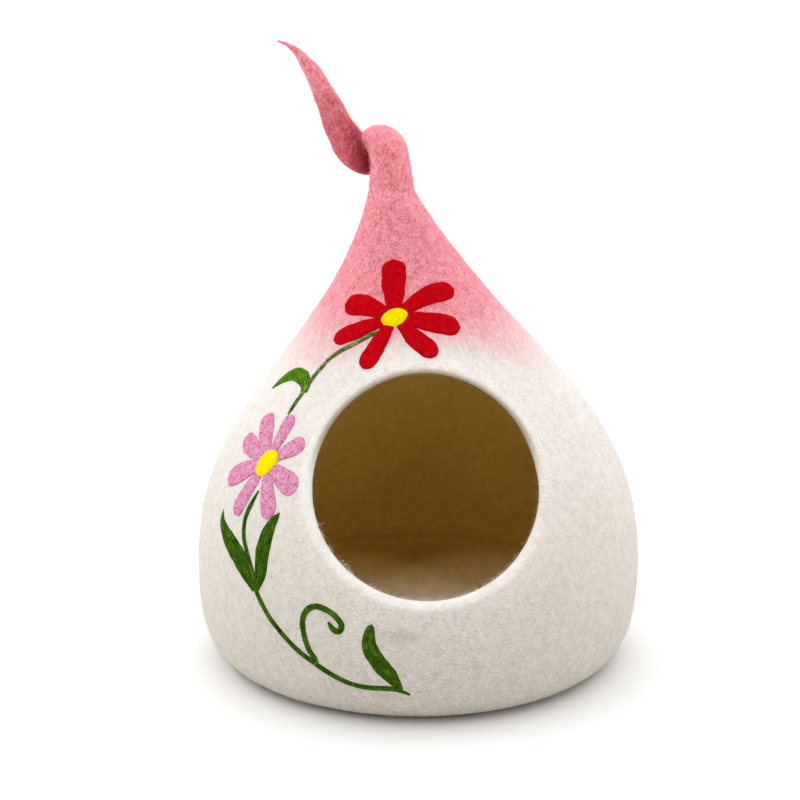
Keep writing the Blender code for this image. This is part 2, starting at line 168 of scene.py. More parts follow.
def land(point, direction, reach=LONG_REACH):
    """Slides a point along a direction until it meets the skin."""
    inner, outer = -reach, reach
    for _ in range(HALVINGS):
        middle = 0.5 * (inner + outer)
        if is_inside(point + direction * middle):
            inner = middle
        else:
            outer = middle
    return point + direction * inner


# %% [markdown]
# Hand felting never leaves a wall perfectly even. Two octaves of smooth noise push the
# skin in and out by less than a millimetre, and one shallow dent sits under the entrance.
# The same function moves the shell and the flowers, so they stay in contact.

# %% Uneven felt
LUMP_SIZES = ((0.055, 0.0008), (0.020, 0.0003))
DENT = {"azimuth": -6.6, "height": 0.0905, "depth": 0.0024, "radius": 0.013}
DENT_MIDDLE = on_skin(DENT["azimuth"], DENT["height"])
FLAT_FOOT = 0.012
UNEVEN_INSIDE = 1.5


def unevenness(point):
    """How far the felt stands out from the even skin at a point, in metres."""
    swell = sum(depth * noise.noise(point / size) for size, depth in LUMP_SIZES)
    across = (point - DENT_MIDDLE).length / DENT["radius"]
    swell -= DENT["depth"] * math.exp(-(across**2))
    return swell * min(1.0, point.z / FLAT_FOOT)


# %% [markdown]
# ## Lofting with rings
#
# The shell is lofted: a ring of vertices comes from `create_circle`, its vertices are put
# on the skin, and `bridge_loops` spans the faces from one ring to the next. A lathe would
# be shorter, but it could not lean, carry a round hole or run on into a folded tail.

# %% Ring helpers
def add_ring(mesh, points, filled=False):
    made = bmesh.ops.create_circle(
        mesh, cap_ends=filled, segments=len(points), radius=1.0
    )["verts"]
    ring = sorted(made, key=lambda vertex: math.atan2(vertex.co.y, vertex.co.x))
    for vertex, point in zip(ring, points):
        vertex.co = point
    return ring


def ring_edges(mesh, ring):
    following = ring[1:] + ring[:1]
    return [mesh.edges.get(pair) for pair in zip(ring, following)]


def loft(mesh, rings):
    for lower, upper in zip(rings, rings[1:]):
        edges = ring_edges(mesh, lower) + ring_edges(mesh, upper)
        bmesh.ops.bridge_loops(mesh, edges=edges)


# %% [markdown]
# ## The body
#
# The outer rows follow the outline at even steps. The inner wall is the same surface a
# felt thickness further in, down to a floor that rises softly at its edge. The middle of
# the floor is one flat face. Rings there would lie level with each other round one middle,
# and `bridge_loops` then joins some of them the wrong way round, with crossed faces. Where
# each ring rises a tenth of a millimetre or more, it joins them properly.

# %% Rows and columns
COLUMNS = 160
ROW_STEP = 0.0052
ENTRANCE_COLUMNS = 20
INNER_WALL_FROM = 0.030
CORNER_TO = 0.072
CORNER_STEP = 0.0014
INNER_WALL_TO = 0.402
INNER_CROWN = 0.024
CROWN_STEPS = 8
FLOOR_RISE = 0.016
FLOOR_RISE_POWER = 6
FLOOR_CORNER_RADIUS = 0.187
FLOOR_STEPS = 24
FLOOR_FIRST_STEP = 12


def column_azimuths():
    return [360.0 * (column - ENTRANCE_COLUMNS) / COLUMNS for column in range(COLUMNS)]


def row_heights():
    count = round(ALONG[-1] / ROW_STEP)
    return np.interp(np.linspace(0, ALONG[-1], count + 1), ALONG, OUTLINE[:, 0])


def outer_point(azimuth, height):
    point = on_skin(azimuth, height)
    return point + outward(point) * unevenness(point)


CREASES = ((0.0405, 0.0009, 0.0020), (0.0485, 0.0005, 0.0016))
CREASE_REACH = 40.0
CREASE_WAVE = 0.0022
CREASE_WAVE_DEGREES = 17
CREASE_WAVE_START = 3.1
CREASE_RIDGE = 0.45
CREASE_RIDGE_AT = 1.9


def crease_depth(azimuth, height):
    """How deep the creases of the back wall are, low down opposite the entrance."""
    behind = math.cos(math.radians(azimuth - 180))
    spread = max(0.0, 1 - ((1 - behind) / (1 - math.cos(math.radians(CREASE_REACH)))))
    swing = noise.noise(Vector((azimuth / CREASE_WAVE_DEGREES, CREASE_WAVE_START, 0.0)))
    depth = 0.0
    for level, deep, half_width in CREASES:
        across = (height - level - CREASE_WAVE * swing) / half_width
        ridge = CREASE_RIDGE * math.exp(-((across - CREASE_RIDGE_AT) ** 2))
        depth += deep * (math.exp(-(across**2)) - ridge)
    return depth * math.sqrt(spread)


def inner_point(azimuth, height):
    point = on_skin(azimuth, height)
    thickness = FELT + UNEVEN_INSIDE * unevenness(point) - crease_depth(azimuth, height)
    return point - outward(point) * thickness


# %% The floor and the crown inside
def floor_height(radius):
    return FELT + FLOOR_RISE * (radius / FLOOR_CORNER_RADIUS) ** FLOOR_RISE_POWER


def floor_ring(radius):
    height = floor_height(radius)
    return [around(azimuth) * radius + Vector((0, 0, height)) for azimuth in column_azimuths()]


def crown_rings(top_ring):
    """Rings that close the space inside over its highest wall ring."""
    middle = sum(top_ring, Vector()) / len(top_ring)
    rings = []
    for step in range(1, CROWN_STEPS + 1):
        turn = 0.5 * math.pi * step / (CROWN_STEPS + 0.5)
        lift = Vector((0, 0, INNER_CROWN * math.sin(turn)))
        rings.append([middle + (point - middle) * math.cos(turn) + lift for point in top_ring])
    return rings


# %% [markdown]
# ## The entrance
#
# The hole is round and square to the sloping front. A block of the shell's faces is taken
# away there, and rings lead from the block's edge to the hole, round its thick soft rim,
# and back to the inner wall. The rim is half an oval in section, a soft roll, because a
# cut edge is rubbed round while it is wet.

# %% Entrance sizes
ENTRANCE_RADIUS = 0.1035
ENTRANCE_TILT = math.radians(28)
ENTRANCE_MIDDLE = Vector((0.0013, -0.160, 0.214))
ENTRANCE_OUT = Vector((0.0, -math.cos(ENTRANCE_TILT), math.sin(ENTRANCE_TILT)))
ENTRANCE_UP = Vector((0.0, math.sin(ENTRANCE_TILT), math.cos(ENTRANCE_TILT)))
ENTRANCE_SIDE = Vector((1.0, 0.0, 0.0))
ENTRANCE_FROM_HEIGHT = 0.098
ENTRANCE_TO_HEIGHT = 0.338
RIM_DEPTH = 0.0078
RIM_HALF_THICKNESS = 0.0059
RIM_STEPS = 14
COLLAR_STEPS = 10


# %% Entrance rings
def entrance_place(point):
    """Distance from the entrance's axis, and the direction from it."""
    offset = point - ENTRANCE_MIDDLE
    across = offset.dot(ENTRANCE_SIDE)
    up = offset.dot(ENTRANCE_UP)
    distance = math.hypot(across, up)
    return distance, (ENTRANCE_SIDE * across + ENTRANCE_UP * up) / distance


def rim_middle(direction):
    """The middle of the wall where the rim starts, with its two directions."""
    start = ENTRANCE_RADIUS + RIM_DEPTH
    top = land(ENTRANCE_MIDDLE + direction * start, ENTRANCE_OUT)
    square = outward(top)
    outwards = (direction - square * direction.dot(square)).normalized()
    top += square * unevenness(top)
    return top - square * (0.5 * FELT), square, outwards


def entrance_rings(outer_loop, inner_loop):
    """Rings from the outer opening in the rows, round the rim, to the inner one."""
    places = [entrance_place(point) for point in outer_loop]
    middles = [rim_middle(direction) for _, direction in places]
    start = ENTRANCE_RADIUS + RIM_DEPTH
    rings = []
    for step in range(1, COLLAR_STEPS):
        ring = []
        for distance, direction in places:
            reach = distance + (start - distance) * step / COLLAR_STEPS
            point = land(ENTRANCE_MIDDLE + direction * reach, ENTRANCE_OUT)
            ring.append(point + outward(point) * unevenness(point))
        rings.append(ring)
    for step in range(RIM_STEPS + 1):
        turn = math.pi * step / RIM_STEPS
        rings.append(
            [
                middle
                + square * (RIM_HALF_THICKNESS * math.cos(turn))
                - outwards * (RIM_DEPTH * math.sin(turn))
                for middle, square, outwards in middles
            ]
        )
    last = rings[-1]
    for step in range(1, COLLAR_STEPS):
        share = step / COLLAR_STEPS
        ring = []
        for (distance, direction), point, target in zip(places, last, inner_loop):
            reach = start + (distance - start) * share
            skin = land(ENTRANCE_MIDDLE + direction * reach, ENTRANCE_OUT)
            wall = skin - outward(skin) * (FELT + UNEVEN_INSIDE * unevenness(skin))
            along = point.lerp(target, share)
            ring.append(wall.lerp(along, 1 - math.sin(math.pi * share)))
        rings.append(ring)
    return rings


# %% Opening the wall
def opening_loop(rings, first_row, last_row):
    """The vertices round a block of the rows in front of the entrance, in order."""
    last_column = 2 * ENTRANCE_COLUMNS
    loop = [rings[first_row][column] for column in range(last_column)]
    loop += [rings[row][last_column] for row in range(first_row, last_row)]
    loop += [rings[last_row][column] for column in range(last_column, 0, -1)]
    loop += [rings[row][0] for row in range(last_row, first_row, -1)]
    return loop


def open_block(mesh, rings, first_row, last_row):
    block = {
        rings[row][column]
        for row in range(first_row, last_row + 1)
        for column in range(2 * ENTRANCE_COLUMNS + 1)
    }
    faces = [face for face in mesh.faces if all(v in block for v in face.verts)]
    bmesh.ops.delete(mesh, geom=faces, context="FACES")


# %% [markdown]
# ## The tail
#
# The top of the cone goes on as a solid neck, which is folded over to the back. Its strand
# comes out on the left and tapers upwards. Both are lofted from oval sections along a
# smooth path, and an exact Boolean joins the strand to the fold, which leaves the deep
# crease that the photograph shows.

# %% Paths of the tail: across, back, height, half width, half depth
FOLD = (
    (-0.0244, 0.0000, 0.4470, 0.0212, 0.0212),
    (-0.0248, 0.0004, 0.4600, 0.0198, 0.0193),
    (-0.0255, 0.0022, 0.4742, 0.0193, 0.0160),
    (-0.0290, 0.0080, 0.4876, 0.0194, 0.0138),
    (-0.0338, 0.0185, 0.4917, 0.0184, 0.0126),
    (-0.0325, 0.0295, 0.4850, 0.0130, 0.0112),
    (-0.0322, 0.0355, 0.4735, 0.0115, 0.0105),
    (-0.0330, 0.0365, 0.4640, 0.0105, 0.0095),
    (-0.0335, 0.0368, 0.4570, 0.0070, 0.0060),
)
STRAND = (
    (-0.0320, 0.0320, 0.4735, 0.0100, 0.0090),
    (-0.0400, 0.0345, 0.4725, 0.0172, 0.0142),
    (-0.0480, 0.0360, 0.4732, 0.0184, 0.0150),
    (-0.0562, 0.0370, 0.4772, 0.0174, 0.0148),
    (-0.0628, 0.0380, 0.4842, 0.0161, 0.0144),
    (-0.0680, 0.0380, 0.4930, 0.0145, 0.0138),
    (-0.0734, 0.0350, 0.5028, 0.0133, 0.0126),
    (-0.0784, 0.0305, 0.5166, 0.0120, 0.0114),
    (-0.0838, 0.0265, 0.5286, 0.0105, 0.0101),
    (-0.0890, 0.0225, 0.5404, 0.0091, 0.0089),
    (-0.0954, 0.0190, 0.5535, 0.0078, 0.0075),
    (-0.1020, 0.0165, 0.5630, 0.0059, 0.0057),
    (-0.1070, 0.0145, 0.5702, 0.0044, 0.0043),
    (-0.1122, 0.0130, 0.5757, 0.0031, 0.0030),
    (-0.1197, 0.0110, 0.5811, 0.0017, 0.0017),
    (-0.1272, 0.0100, 0.5840, 0.0009, 0.0009),
)
FOLD_ROLL = 0.75
TAIL_COLUMNS = 48
TAIL_STEP = 0.0032
TAIL_LUMP_SIZE = 0.018
TAIL_UNEVEN = 0.04


# %% Sections along a path
def smooth_route(points, step):
    """Points about one step apart on a smooth curve through the given ones."""
    points = np.asarray(points, float)
    before = 2 * points[0] - points[1]
    after = 2 * points[-1] - points[-2]
    padded = np.vstack([before, points, after])
    curve = [points[0]]
    for a, b, c, d in zip(padded, padded[1:], padded[2:], padded[3:]):
        count = max(1, round(np.linalg.norm((c - b)[:3]) / step))
        for part in range(1, count + 1):
            t = part / count
            bend = (2 * a - 5 * b + 4 * c - d) * t**2 + (3 * b - a - 3 * c + d) * t**3
            curve.append(0.5 * (2 * b + (c - a) * t + bend))
    return np.array(curve)


def sections_along(table, width_way):
    """Oval rings of points square to a path, slightly uneven as felt is."""
    path = smooth_route(table, TAIL_STEP)
    sections = []
    for index, row in enumerate(path):
        ahead = path[min(index + 2, len(path) - 1)]
        behind = path[max(index - 2, 0)]
        heading = Vector(ahead[:3] - behind[:3]).normalized()
        width_way = (width_way - heading * width_way.dot(heading)).normalized()
        depth_way = heading.cross(width_way)
        middle = Vector(row[:3])
        ring = []
        for column in range(TAIL_COLUMNS):
            turn = 2 * math.pi * column / TAIL_COLUMNS
            spoke = width_way * (row[3] * math.cos(turn)) + depth_way * (row[4] * math.sin(turn))
            swell = 1 + TAIL_UNEVEN * noise.noise((middle + spoke) / TAIL_LUMP_SIZE)
            ring.append(middle + spoke * swell)
        sections.append(ring)
    return sections


# %% Making the shell
def mesh_object(name, mesh):
    """Turns a finished bmesh into a smooth object in the scene."""
    data = bpy.data.meshes.new(name)
    mesh.to_mesh(data)
    mesh.free()
    data.shade_smooth()
    item = bpy.data.objects.new(name, data)
    bpy.context.scene.collection.objects.link(item)
    return item


def build_body():
    mesh = bmesh.new()
    heights = row_heights()
    azimuths = column_azimuths()
    outer = [
        add_ring(mesh, [outer_point(azimuth, height) for azimuth in azimuths], row == 0)
        for row, height in enumerate(heights)
    ]
    loft(mesh, outer)
    sections = sections_along(FOLD, Vector((1.0, FOLD_ROLL, 0.0)))
    fold = [add_ring(mesh, section) for section in sections[1:-1]]
    fold.append(add_ring(mesh, sections[-1], filled=True))
    loft(mesh, [outer[-1]] + fold)

    wall_rows = [row for row, height in enumerate(heights) if CORNER_TO < height < INNER_WALL_TO]
    wall = {
        row: add_ring(mesh, [inner_point(azimuth, heights[row]) for azimuth in azimuths])
        for row in wall_rows
    }
    corner = [
        add_ring(mesh, [inner_point(azimuth, height) for azimuth in azimuths])
        for height in np.arange(INNER_WALL_FROM, CORNER_TO - CORNER_STEP, CORNER_STEP)
    ]
    floor_radii = [
        FLOOR_CORNER_RADIUS * step / FLOOR_STEPS
        for step in range(FLOOR_FIRST_STEP, FLOOR_STEPS + 1)
    ]
    floor = [add_ring(mesh, floor_ring(radius), radius == floor_radii[0]) for radius in floor_radii]
    crown_points = crown_rings([vertex.co.copy() for vertex in wall[wall_rows[-1]]])
    crown = [add_ring(mesh, points, points is crown_points[-1]) for points in crown_points]
    loft(mesh, floor + corner + list(wall.values()) + crown)

    first_row = int(np.argmin(abs(heights - ENTRANCE_FROM_HEIGHT)))
    last_row = int(np.argmin(abs(heights - ENTRANCE_TO_HEIGHT)))
    outer_loop = opening_loop(outer, first_row, last_row)
    inner_loop = opening_loop(wall, first_row, last_row)
    open_block(mesh, outer, first_row, last_row)
    open_block(mesh, wall, first_row, last_row)
    rim = entrance_rings([v.co.copy() for v in outer_loop], [v.co.copy() for v in inner_loop])
    loft(mesh, [outer_loop] + [add_ring(mesh, points) for points in rim] + [inner_loop])
    bmesh.ops.recalc_face_normals(mesh, faces=mesh.faces)
    return mesh_object("felted_shell", mesh)


def build_strand():
    sections = sections_along(STRAND, Vector((0.0, 0.0, 1.0)))
    ends = (sections[0], sections[-1])
    mesh = bmesh.new()
    loft(mesh, [add_ring(mesh, section, section in ends) for section in sections])
    bmesh.ops.recalc_face_normals(mesh, faces=mesh.faces)
    return mesh_object("strand", mesh)


# %% Join the strand
def apply_modifiers(item):
    """Replaces an object's mesh with what its modifiers make of it."""
    graph = bpy.context.evaluated_depsgraph_get()
    finished = bpy.data.meshes.new_from_object(item.evaluated_get(graph))
    item.modifiers.clear()
    item.data = finished


shell = build_body()
strand = build_strand()
joint = shell.modifiers.new("join_strand", "BOOLEAN")
joint.operation = "UNION"
joint.solver = "EXACT"
joint.object = strand
apply_modifiers(shell)
bpy.data.objects.remove(strand)
print("shell:", len(shell.data.vertices), "vertices,", len(shell.data.polygons), "faces")

# %% [markdown]
# ## What the felt's colour needs to know
#
# The shell's colour changes over it: natural white below, pink above, brown wool inside.
# Attributes carry that to the material. `inner` is 1 on the brown side, `collar` is 1
# next to the entrance, where the white reaches up, and `lip` is 1 on the lower left of the
# entrance's roll and less round the rest of it: there the roll is whitened, a painted
# highlight of the light falling on it. `pale` is the floor near the entrance, which the
# material makes paler and beige. `under_roll` is 1 where the roll above the entrance turns
# under, and darkens the felt there as painted shade. `deep` is 1 on the strand of the tail,
# which is partly darker wool and partly painted shade. It is higher in the crease between
# strand and fold, and slight in the creases inside; both are painted shade. `fuzz` says how
# many loose hairs stand out, and `along` turns with the body and climbs along its outline,
# so that fibres can follow it.

# %% Sizes of the colour zones
COLLAR_REACH = 0.055
BROWN_FROM = 0.0045
# Above the entrance the brown starts sooner round the roll and the roll's underside is darkened: painted
# shade.
BROWN_FROM_ABOVE = 0.0010
UNDER_REACH = 0.0052
UNDER_WAY = (0.0, 0.60)
BROWN_LAG = 0.014
AROUND_RADIUS = 0.16
LIP_FROM = 0.0035
LIP_TO = 0.0115
# Where the painted highlight on the entrance's roll is strongest: its lower left.
LIP_WAY = (-0.45, -0.90)
LEAST_LIP = 0.22
TAIL_FROM_HEIGHT = 0.452
# Reach of the tail's painted shade and of the strand's darker wool.
CREASE_FADE = 0.0042
NEAR_NECK = (-0.0680, -0.0440)
BEHIND_NECK = (0.026, 0.036)
FADE_OF_STRAND = (0.500, 0.575)
ROLL_FUZZ = 10.0
BARE_DEPTH = 0.0075
TAIL_FUZZ = 5.0
TAIL_BARE_FROM = (0.9, 1.3)
LEAST_FUZZ_HEIGHT = 0.006
CREASED_BELOW = 0.07
# Strength of the painted shade in the creases inside.
CREASE_SHADE = 0.20
PALE_TO = 0.185
PALE_SLOPE = 6.6
MOST_PALE = 0.62
# The fold's side that gets painted shade beside the crease.
SIDE_OF_FOLD = (-0.0515, -0.0410)
TOP_OF_CREASE = (0.4840, 0.5030)
FUZZY_BELOW = (-0.2, 0.4)
ABOVE_WAY = (0.0, 0.8)
LIP_TURN = (-0.5, 0.35)
ROUND_SHARE = 0.5
BARE_INSIDE = 0.6
FLOOR_BELOW = 0.03
OVER_CROWN = 0.005
FAR_OFF = 1.0
STRAND_BESIDE_FOLD = (-0.004, 0.002)
# How much darker the painted shade of the tail's crease is.
CREASE_DARKNESS = 2.0

FOLD_PATH = smooth_route(FOLD, TAIL_STEP)
STRAND_PATH = smooth_route(STRAND, TAIL_STEP)


# %% Attributes of the shell
def soft_step(value, low, high):
    share = min(1.0, max(0.0, (value - low) / (high - low)))
    return share * share * (3 - 2 * share)


def gap_to(path, point):
    """Roughly how far a point is from the surface of a tail section path."""
    apart = np.linalg.norm(path[:, :3] - np.array(point), axis=1)
    return float(np.min(apart - 0.5 * (path[:, 3] + path[:, 4])))


def depth_of_tail(point):
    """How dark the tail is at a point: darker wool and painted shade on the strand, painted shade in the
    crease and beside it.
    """
    if point.z < TAIL_FROM_HEIGHT:
        return 0.0
    to_fold = gap_to(FOLD_PATH, point)
    to_strand = gap_to(STRAND_PATH, point)
    on_strand = 1 - soft_step(to_strand - to_fold, *STRAND_BESIDE_FOLD)
    # The strand is darker towards its root: partly darker wool, partly painted shade.
    strand = on_strand * (1 - soft_step(point.z, *FADE_OF_STRAND))
    # Painted shade on the strand where it passes behind the neck.
    tucked = on_strand * soft_step(point.x, *NEAR_NECK) * (1 - soft_step(point.y, *BEHIND_NECK))
    # Painted shade on the fold's side beside the crease.
    side = (1 - on_strand) * (1 - soft_step(point.x, *SIDE_OF_FOLD))
    side *= 1 - soft_step(point.z, *TOP_OF_CREASE)
    # Painted shade along the crease between the fold and the strand.
    crease = math.exp(-max(to_fold, to_strand, 0.0) / CREASE_FADE)
    return strand + CREASE_DARKNESS * max(crease, tucked, side)


def felt_facts(point):
    """The attributes at a point of the felt."""
    offset = point - axis_at(point.z)
    azimuth = azimuth_of(point)
    depth = radius_at(azimuth, point.z) - offset.xy.length
    solid = point.z < 0.5 * FELT or point.z > INNER_WALL_TO + INNER_CROWN + OVER_CROWN
    distance, way = entrance_place(point)
    past_rim = (distance if point.y < 0 else FAR_OFF) - ENTRANCE_RADIUS
    past_roll = past_rim - RIM_DEPTH
    upwards = way.dot(ENTRANCE_UP)
    # Above the entrance the brown starts sooner round the roll, which darkens its underside as painted
    # shade.
    above = soft_step(upwards, *ABOVE_WAY) if past_roll < 0 else 0.0
    brown_from = BROWN_FROM + (BROWN_FROM_ABOVE - BROWN_FROM) * above
    inner = 0.0 if solid or depth < brown_from else 1.0
    if inner and past_roll < BROWN_LAG:
        round_roll = (depth - brown_from) / (FELT - brown_from)
        inner = (ROUND_SHARE + above) * round_roll + ROUND_SHARE * max(0.0, past_roll / BROWN_LAG)
        inner = min(1.0, inner)
    roll = 1 - soft_step(past_rim, LIP_FROM, LIP_TO)
    # Painted highlight on the entrance's roll, strongest on its lower left, where light falls on it.
    low_left = way.dot(ENTRANCE_SIDE) * LIP_WAY[0] + upwards * LIP_WAY[1]
    lip = roll * (LEAST_LIP + (1 - LEAST_LIP) * soft_step(low_left, *LIP_TURN))
    # Painted shade where the roll above the entrance turns under.
    turned = soft_step(upwards, *UNDER_WAY)
    under_roll = turned * (1 - soft_step(past_rim, 0.0, UNDER_REACH))
    bare = inner > BARE_INSIDE or depth > BARE_DEPTH or point.z < LEAST_FUZZ_HEIGHT
    lower = soft_step(-upwards, *FUZZY_BELOW)
    fuzz = 0.0 if bare else (1.0 + (ROLL_FUZZ - 1) * lower * roll**2) * (1 - under_roll)
    deep = depth_of_tail(point)
    if point.z > TAIL_FROM_HEIGHT:
        fuzz = TAIL_FUZZ * (1 - soft_step(deep, *TAIL_BARE_FROM))
    collar = 1 - soft_step(past_rim, 0.0, COLLAR_REACH)
    # The floor turns paler and beige towards the entrance.
    pale = 0.0
    if point.z < FLOOR_BELOW:
        pale = min(MOST_PALE, max(0.0, PALE_TO - point.y) * PALE_SLOPE)
    climbed = float(np.interp(point.z, OUTLINE[:, 0], ALONG))
    climbed += max(0.0, point.z - NECK_HEIGHT)
    place = around(azimuth) * AROUND_RADIUS + Vector((0, 0, climbed))
    # Slight painted shade in the creases of the back wall inside.
    if inner > 0.5 and point.y > 0 and point.z < CREASED_BELOW:
        deep = CREASE_SHADE * max(0.0, crease_depth(azimuth, point.z)) / CREASES[0][1]
    return inner, collar, pale, lip, under_roll, deep, fuzz, place


def mark_felt(item):
    facts = [felt_facts(vertex.co) for vertex in item.data.vertices]
    names = ("inner", "collar", "pale", "lip", "under_roll", "deep", "fuzz")
    for column, name in enumerate(names):
        layer = item.data.attributes.new(name, "FLOAT", "POINT")
        layer.data.foreach_set("value", [fact[column] for fact in facts])
    layer = item.data.attributes.new("along", "FLOAT_VECTOR", "POINT")
    layer.data.foreach_set("vector", [value for fact in facts for value in fact[-1]])


mark_felt(shell)

# %% [markdown]
# ## Needled wool
#
# A petal or leaf is a thin tuft of dyed wool, thickest in its middle, whose edges are
# pricked into the shell. Each starts as a grid, laid on the skin along a route, and is
# extruded into a closed pad. Its top swells like a low pillow and its edge goes under the
# skin, so there is no step round it. The extrude leaves its new faces in a different order
# each run, and hairs are later scattered face by face, so the pad is sorted by place.

# %% Needled pad
PAD_STATIONS = 30
PAD_ACROSS = 10
PAD_SUNK = 0.0009
PAD_EDGE_SUNK = 0.0003
LEAST_HALF_WIDTH = 0.0004
PAD_FUZZ = 1.0
PAD_PILLOW = 0.8
PAD_WAVER = 0.10
PAD_WAVER_SIZE = 0.008
PAD_WAVER_START = 7
FIBRE_SHIFT = 0.01
SORTING_WAY = Vector((1.0, 2.7, 7.3))


def resampled(route, stations):
    """A route of points on the skin with evenly spaced stations."""
    route = np.array([tuple(point) for point in route])
    along = np.concatenate([[0.0], np.cumsum(np.linalg.norm(np.diff(route, axis=0), axis=1))])
    places = np.linspace(0, along[-1], stations)
    columns = [np.interp(places, along, route[:, axis]) for axis in range(3)]
    return [Vector(point) for point in zip(*columns)]


def pad_swell(edge_distance, thickness, softness):
    """How far a pad's top stands out at a distance from its edge."""
    share = min(1.0, edge_distance / softness)
    return -PAD_EDGE_SUNK + (thickness + PAD_EDGE_SUNK) * (1 - (1 - share) ** 2) ** PAD_PILLOW


def sort_by_place(mesh):
    """Gives a bmesh's parts the same order in every run."""
    mesh.verts.sort(key=lambda vertex: vertex.co.dot(SORTING_WAY))
    mesh.edges.sort(key=lambda edge: (edge.verts[0].co + edge.verts[1].co).dot(SORTING_WAY))
    mesh.faces.sort(key=lambda face: face.calc_center_median().dot(SORTING_WAY))


def needled_pad(name, route, half_width, thickness, softness, stations, across):
    """A closed pad along a route, with its `swell`, `fuzz` and `along` attributes."""
    spine = resampled(route, stations)
    mesh = bmesh.new()
    swell = mesh.verts.layers.float.new("swell")
    fuzz = mesh.verts.layers.float.new("fuzz")
    fibre = mesh.verts.layers.float_vector.new("along")
    bmesh.ops.create_grid(mesh, x_segments=stations - 1, y_segments=across, size=1.0)
    length = sum((b - a).length for a, b in zip(spine, spine[1:]))
    for vertex in mesh.verts:
        along = 0.5 * (vertex.co.x + 1)
        sideways = vertex.co.y
        index = round(along * (stations - 1))
        ahead = spine[min(index + 1, stations - 1)]
        behind = spine[max(index - 1, 0)]
        square = outward(spine[index])
        side = square.cross((ahead - behind).normalized()).normalized()
        wide = max(half_width(along), LEAST_HALF_WIDTH)
        along_noise = Vector((2 * sideways, 0, PAD_WAVER_START))
        wide *= 1 + PAD_WAVER * noise.noise(spine[index] / PAD_WAVER_SIZE + along_noise)
        point = land(spine[index] + side * (sideways * wide), square, reach=SHORT_REACH)
        vertex[swell] = pad_swell((1 - abs(sideways)) * wide, thickness, softness)
        vertex[fibre] = Vector((along * length, sideways * wide, FIBRE_SHIFT * spine[0].x))
        vertex.co = point + outward(point) * (unevenness(point) - PAD_SUNK)
    raised = bmesh.ops.extrude_face_region(mesh, geom=list(mesh.faces), use_keep_orig=True)
    tops = [item for item in raised["geom"] if isinstance(item, bmesh.types.BMVert)]
    for vertex in tops:
        vertex.co += outward(vertex.co) * (PAD_SUNK + vertex[swell])
        vertex[fuzz] = PAD_FUZZ
    bmesh.ops.recalc_face_normals(mesh, faces=mesh.faces)
    sort_by_place(mesh)
    return mesh_object(name, mesh)


# %% Outlines of the pads
PETAL_BASE = 0.54
PETAL_FULLEST = 0.74
PETAL_TIP = 1.004
PETAL_OPENING_POWER = 1.15
PETAL_TIP_POWER = 2.8
STEM_ENDS = 0.45
STEM_TAPER = 10


def petal_half_width(width):
    """A blunt paddle: nearly straight sides that open towards a round tip."""
    def half_width(along):
        opened = math.sin(0.5 * math.pi * min(along / PETAL_FULLEST, 1.0)) ** PETAL_OPENING_POWER
        past = max(0.0, along - PETAL_FULLEST) / (PETAL_TIP - PETAL_FULLEST)
        share = PETAL_BASE + (1 - PETAL_BASE) * opened
        return 0.5 * width * share * math.sqrt(max(0.0, 1 - past**PETAL_TIP_POWER))

    return half_width


def leaf_half_width(width, fullest, base_share, tip_power):
    """A leaf, widest at a share of its length, that narrows to a point."""
    def half_width(along):
        rise = math.sin(0.5 * math.pi * min(along / fullest, 1.0))
        fall = math.cos(0.5 * math.pi * max(0.0, along - fullest) / (1 - fullest))
        return 0.5 * width * (base_share + (1 - base_share) * rise) * fall**tip_power

    return half_width


def oval_half_width(widest):
    def half_width(along):
        return widest * math.sqrt(max(0.0, 1 - (2 * along - 1) ** 2))

    return half_width


def stem_half_width(width):
    def half_width(along):
        return 0.5 * width * min(1.0, STEM_ENDS + STEM_TAPER * min(along, 1 - along))

    return half_width


# %% [markdown]
# ## The daisies
#
# Each flower is a ring of rounded petals that meet under an oval yellow centre. The tables
# give where each petal ends in the flower's own plane, in millimetres across and up from
# its centre, how wide it is, and how far its middle bows to the left of its heading.

# %% Flower tables
RED_FLOWER = {"azimuth": -11.4, "height": 0.347, "petals_from": 0.006}
RED_CENTRE = {"half_length": 0.0127, "half_width": 0.0100, "turn": math.radians(23)}
RED_PETALS = (
    (-6.5, 54.8, 24.5, 0.0),
    (48.1, 37.2, 20.0, 2.3),
    (57.4, -0.3, 21.5, -0.7),
    (41.2, -32.0, 19.8, -1.9),
    (-23.6, -49.7, 19.0, 0.0),
    (-56.6, -18.2, 18.3, 1.0),
    (-49.1, 15.3, 22.0, -2.5),
)
PINK_FLOWER = {"azimuth": -53.6, "height": 0.219, "petals_from": 0.0085}
PINK_CENTRE = {"half_length": 0.0150, "half_width": 0.0126, "turn": math.radians(55)}
PINK_PETALS = (
    (-33.5, 40.5, 22.5, 0.0),
    (4.1, 49.0, 17.0, 0.0),
    (33.1, 30.9, 18.5, 0.0),
    (46.5, -12.5, 22.0, 0.0),
    (28.0, -45.4, 20.0, 0.0),
    (-21.4, -54.3, 19.5, 0.0),
    (-53.7, -27.5, 22.5, 0.0),
    (-52.0, 13.0, 20.0, 0.0),
)
PETAL_THICKNESS = 0.0013
CENTRE_THICKNESS = 0.0024
LEAF_THICKNESS = 0.0011
PETAL_SOFTNESS = 0.0035
CENTRE_SOFTNESS = 0.0060
ROUTE_PARTS = 12
flat_sizes = {}
replaced = {}
slots = {}


# %% Flower planes
def flat_frame(flower):
    """The plane that a flower lies in: its middle, across, up and outward directions."""
    middle = on_skin(flower["azimuth"], flower["height"])
    square = outward(middle)
    across = Vector((0, 0, 1)).cross(square).normalized()
    return middle, across, square.cross(across), square


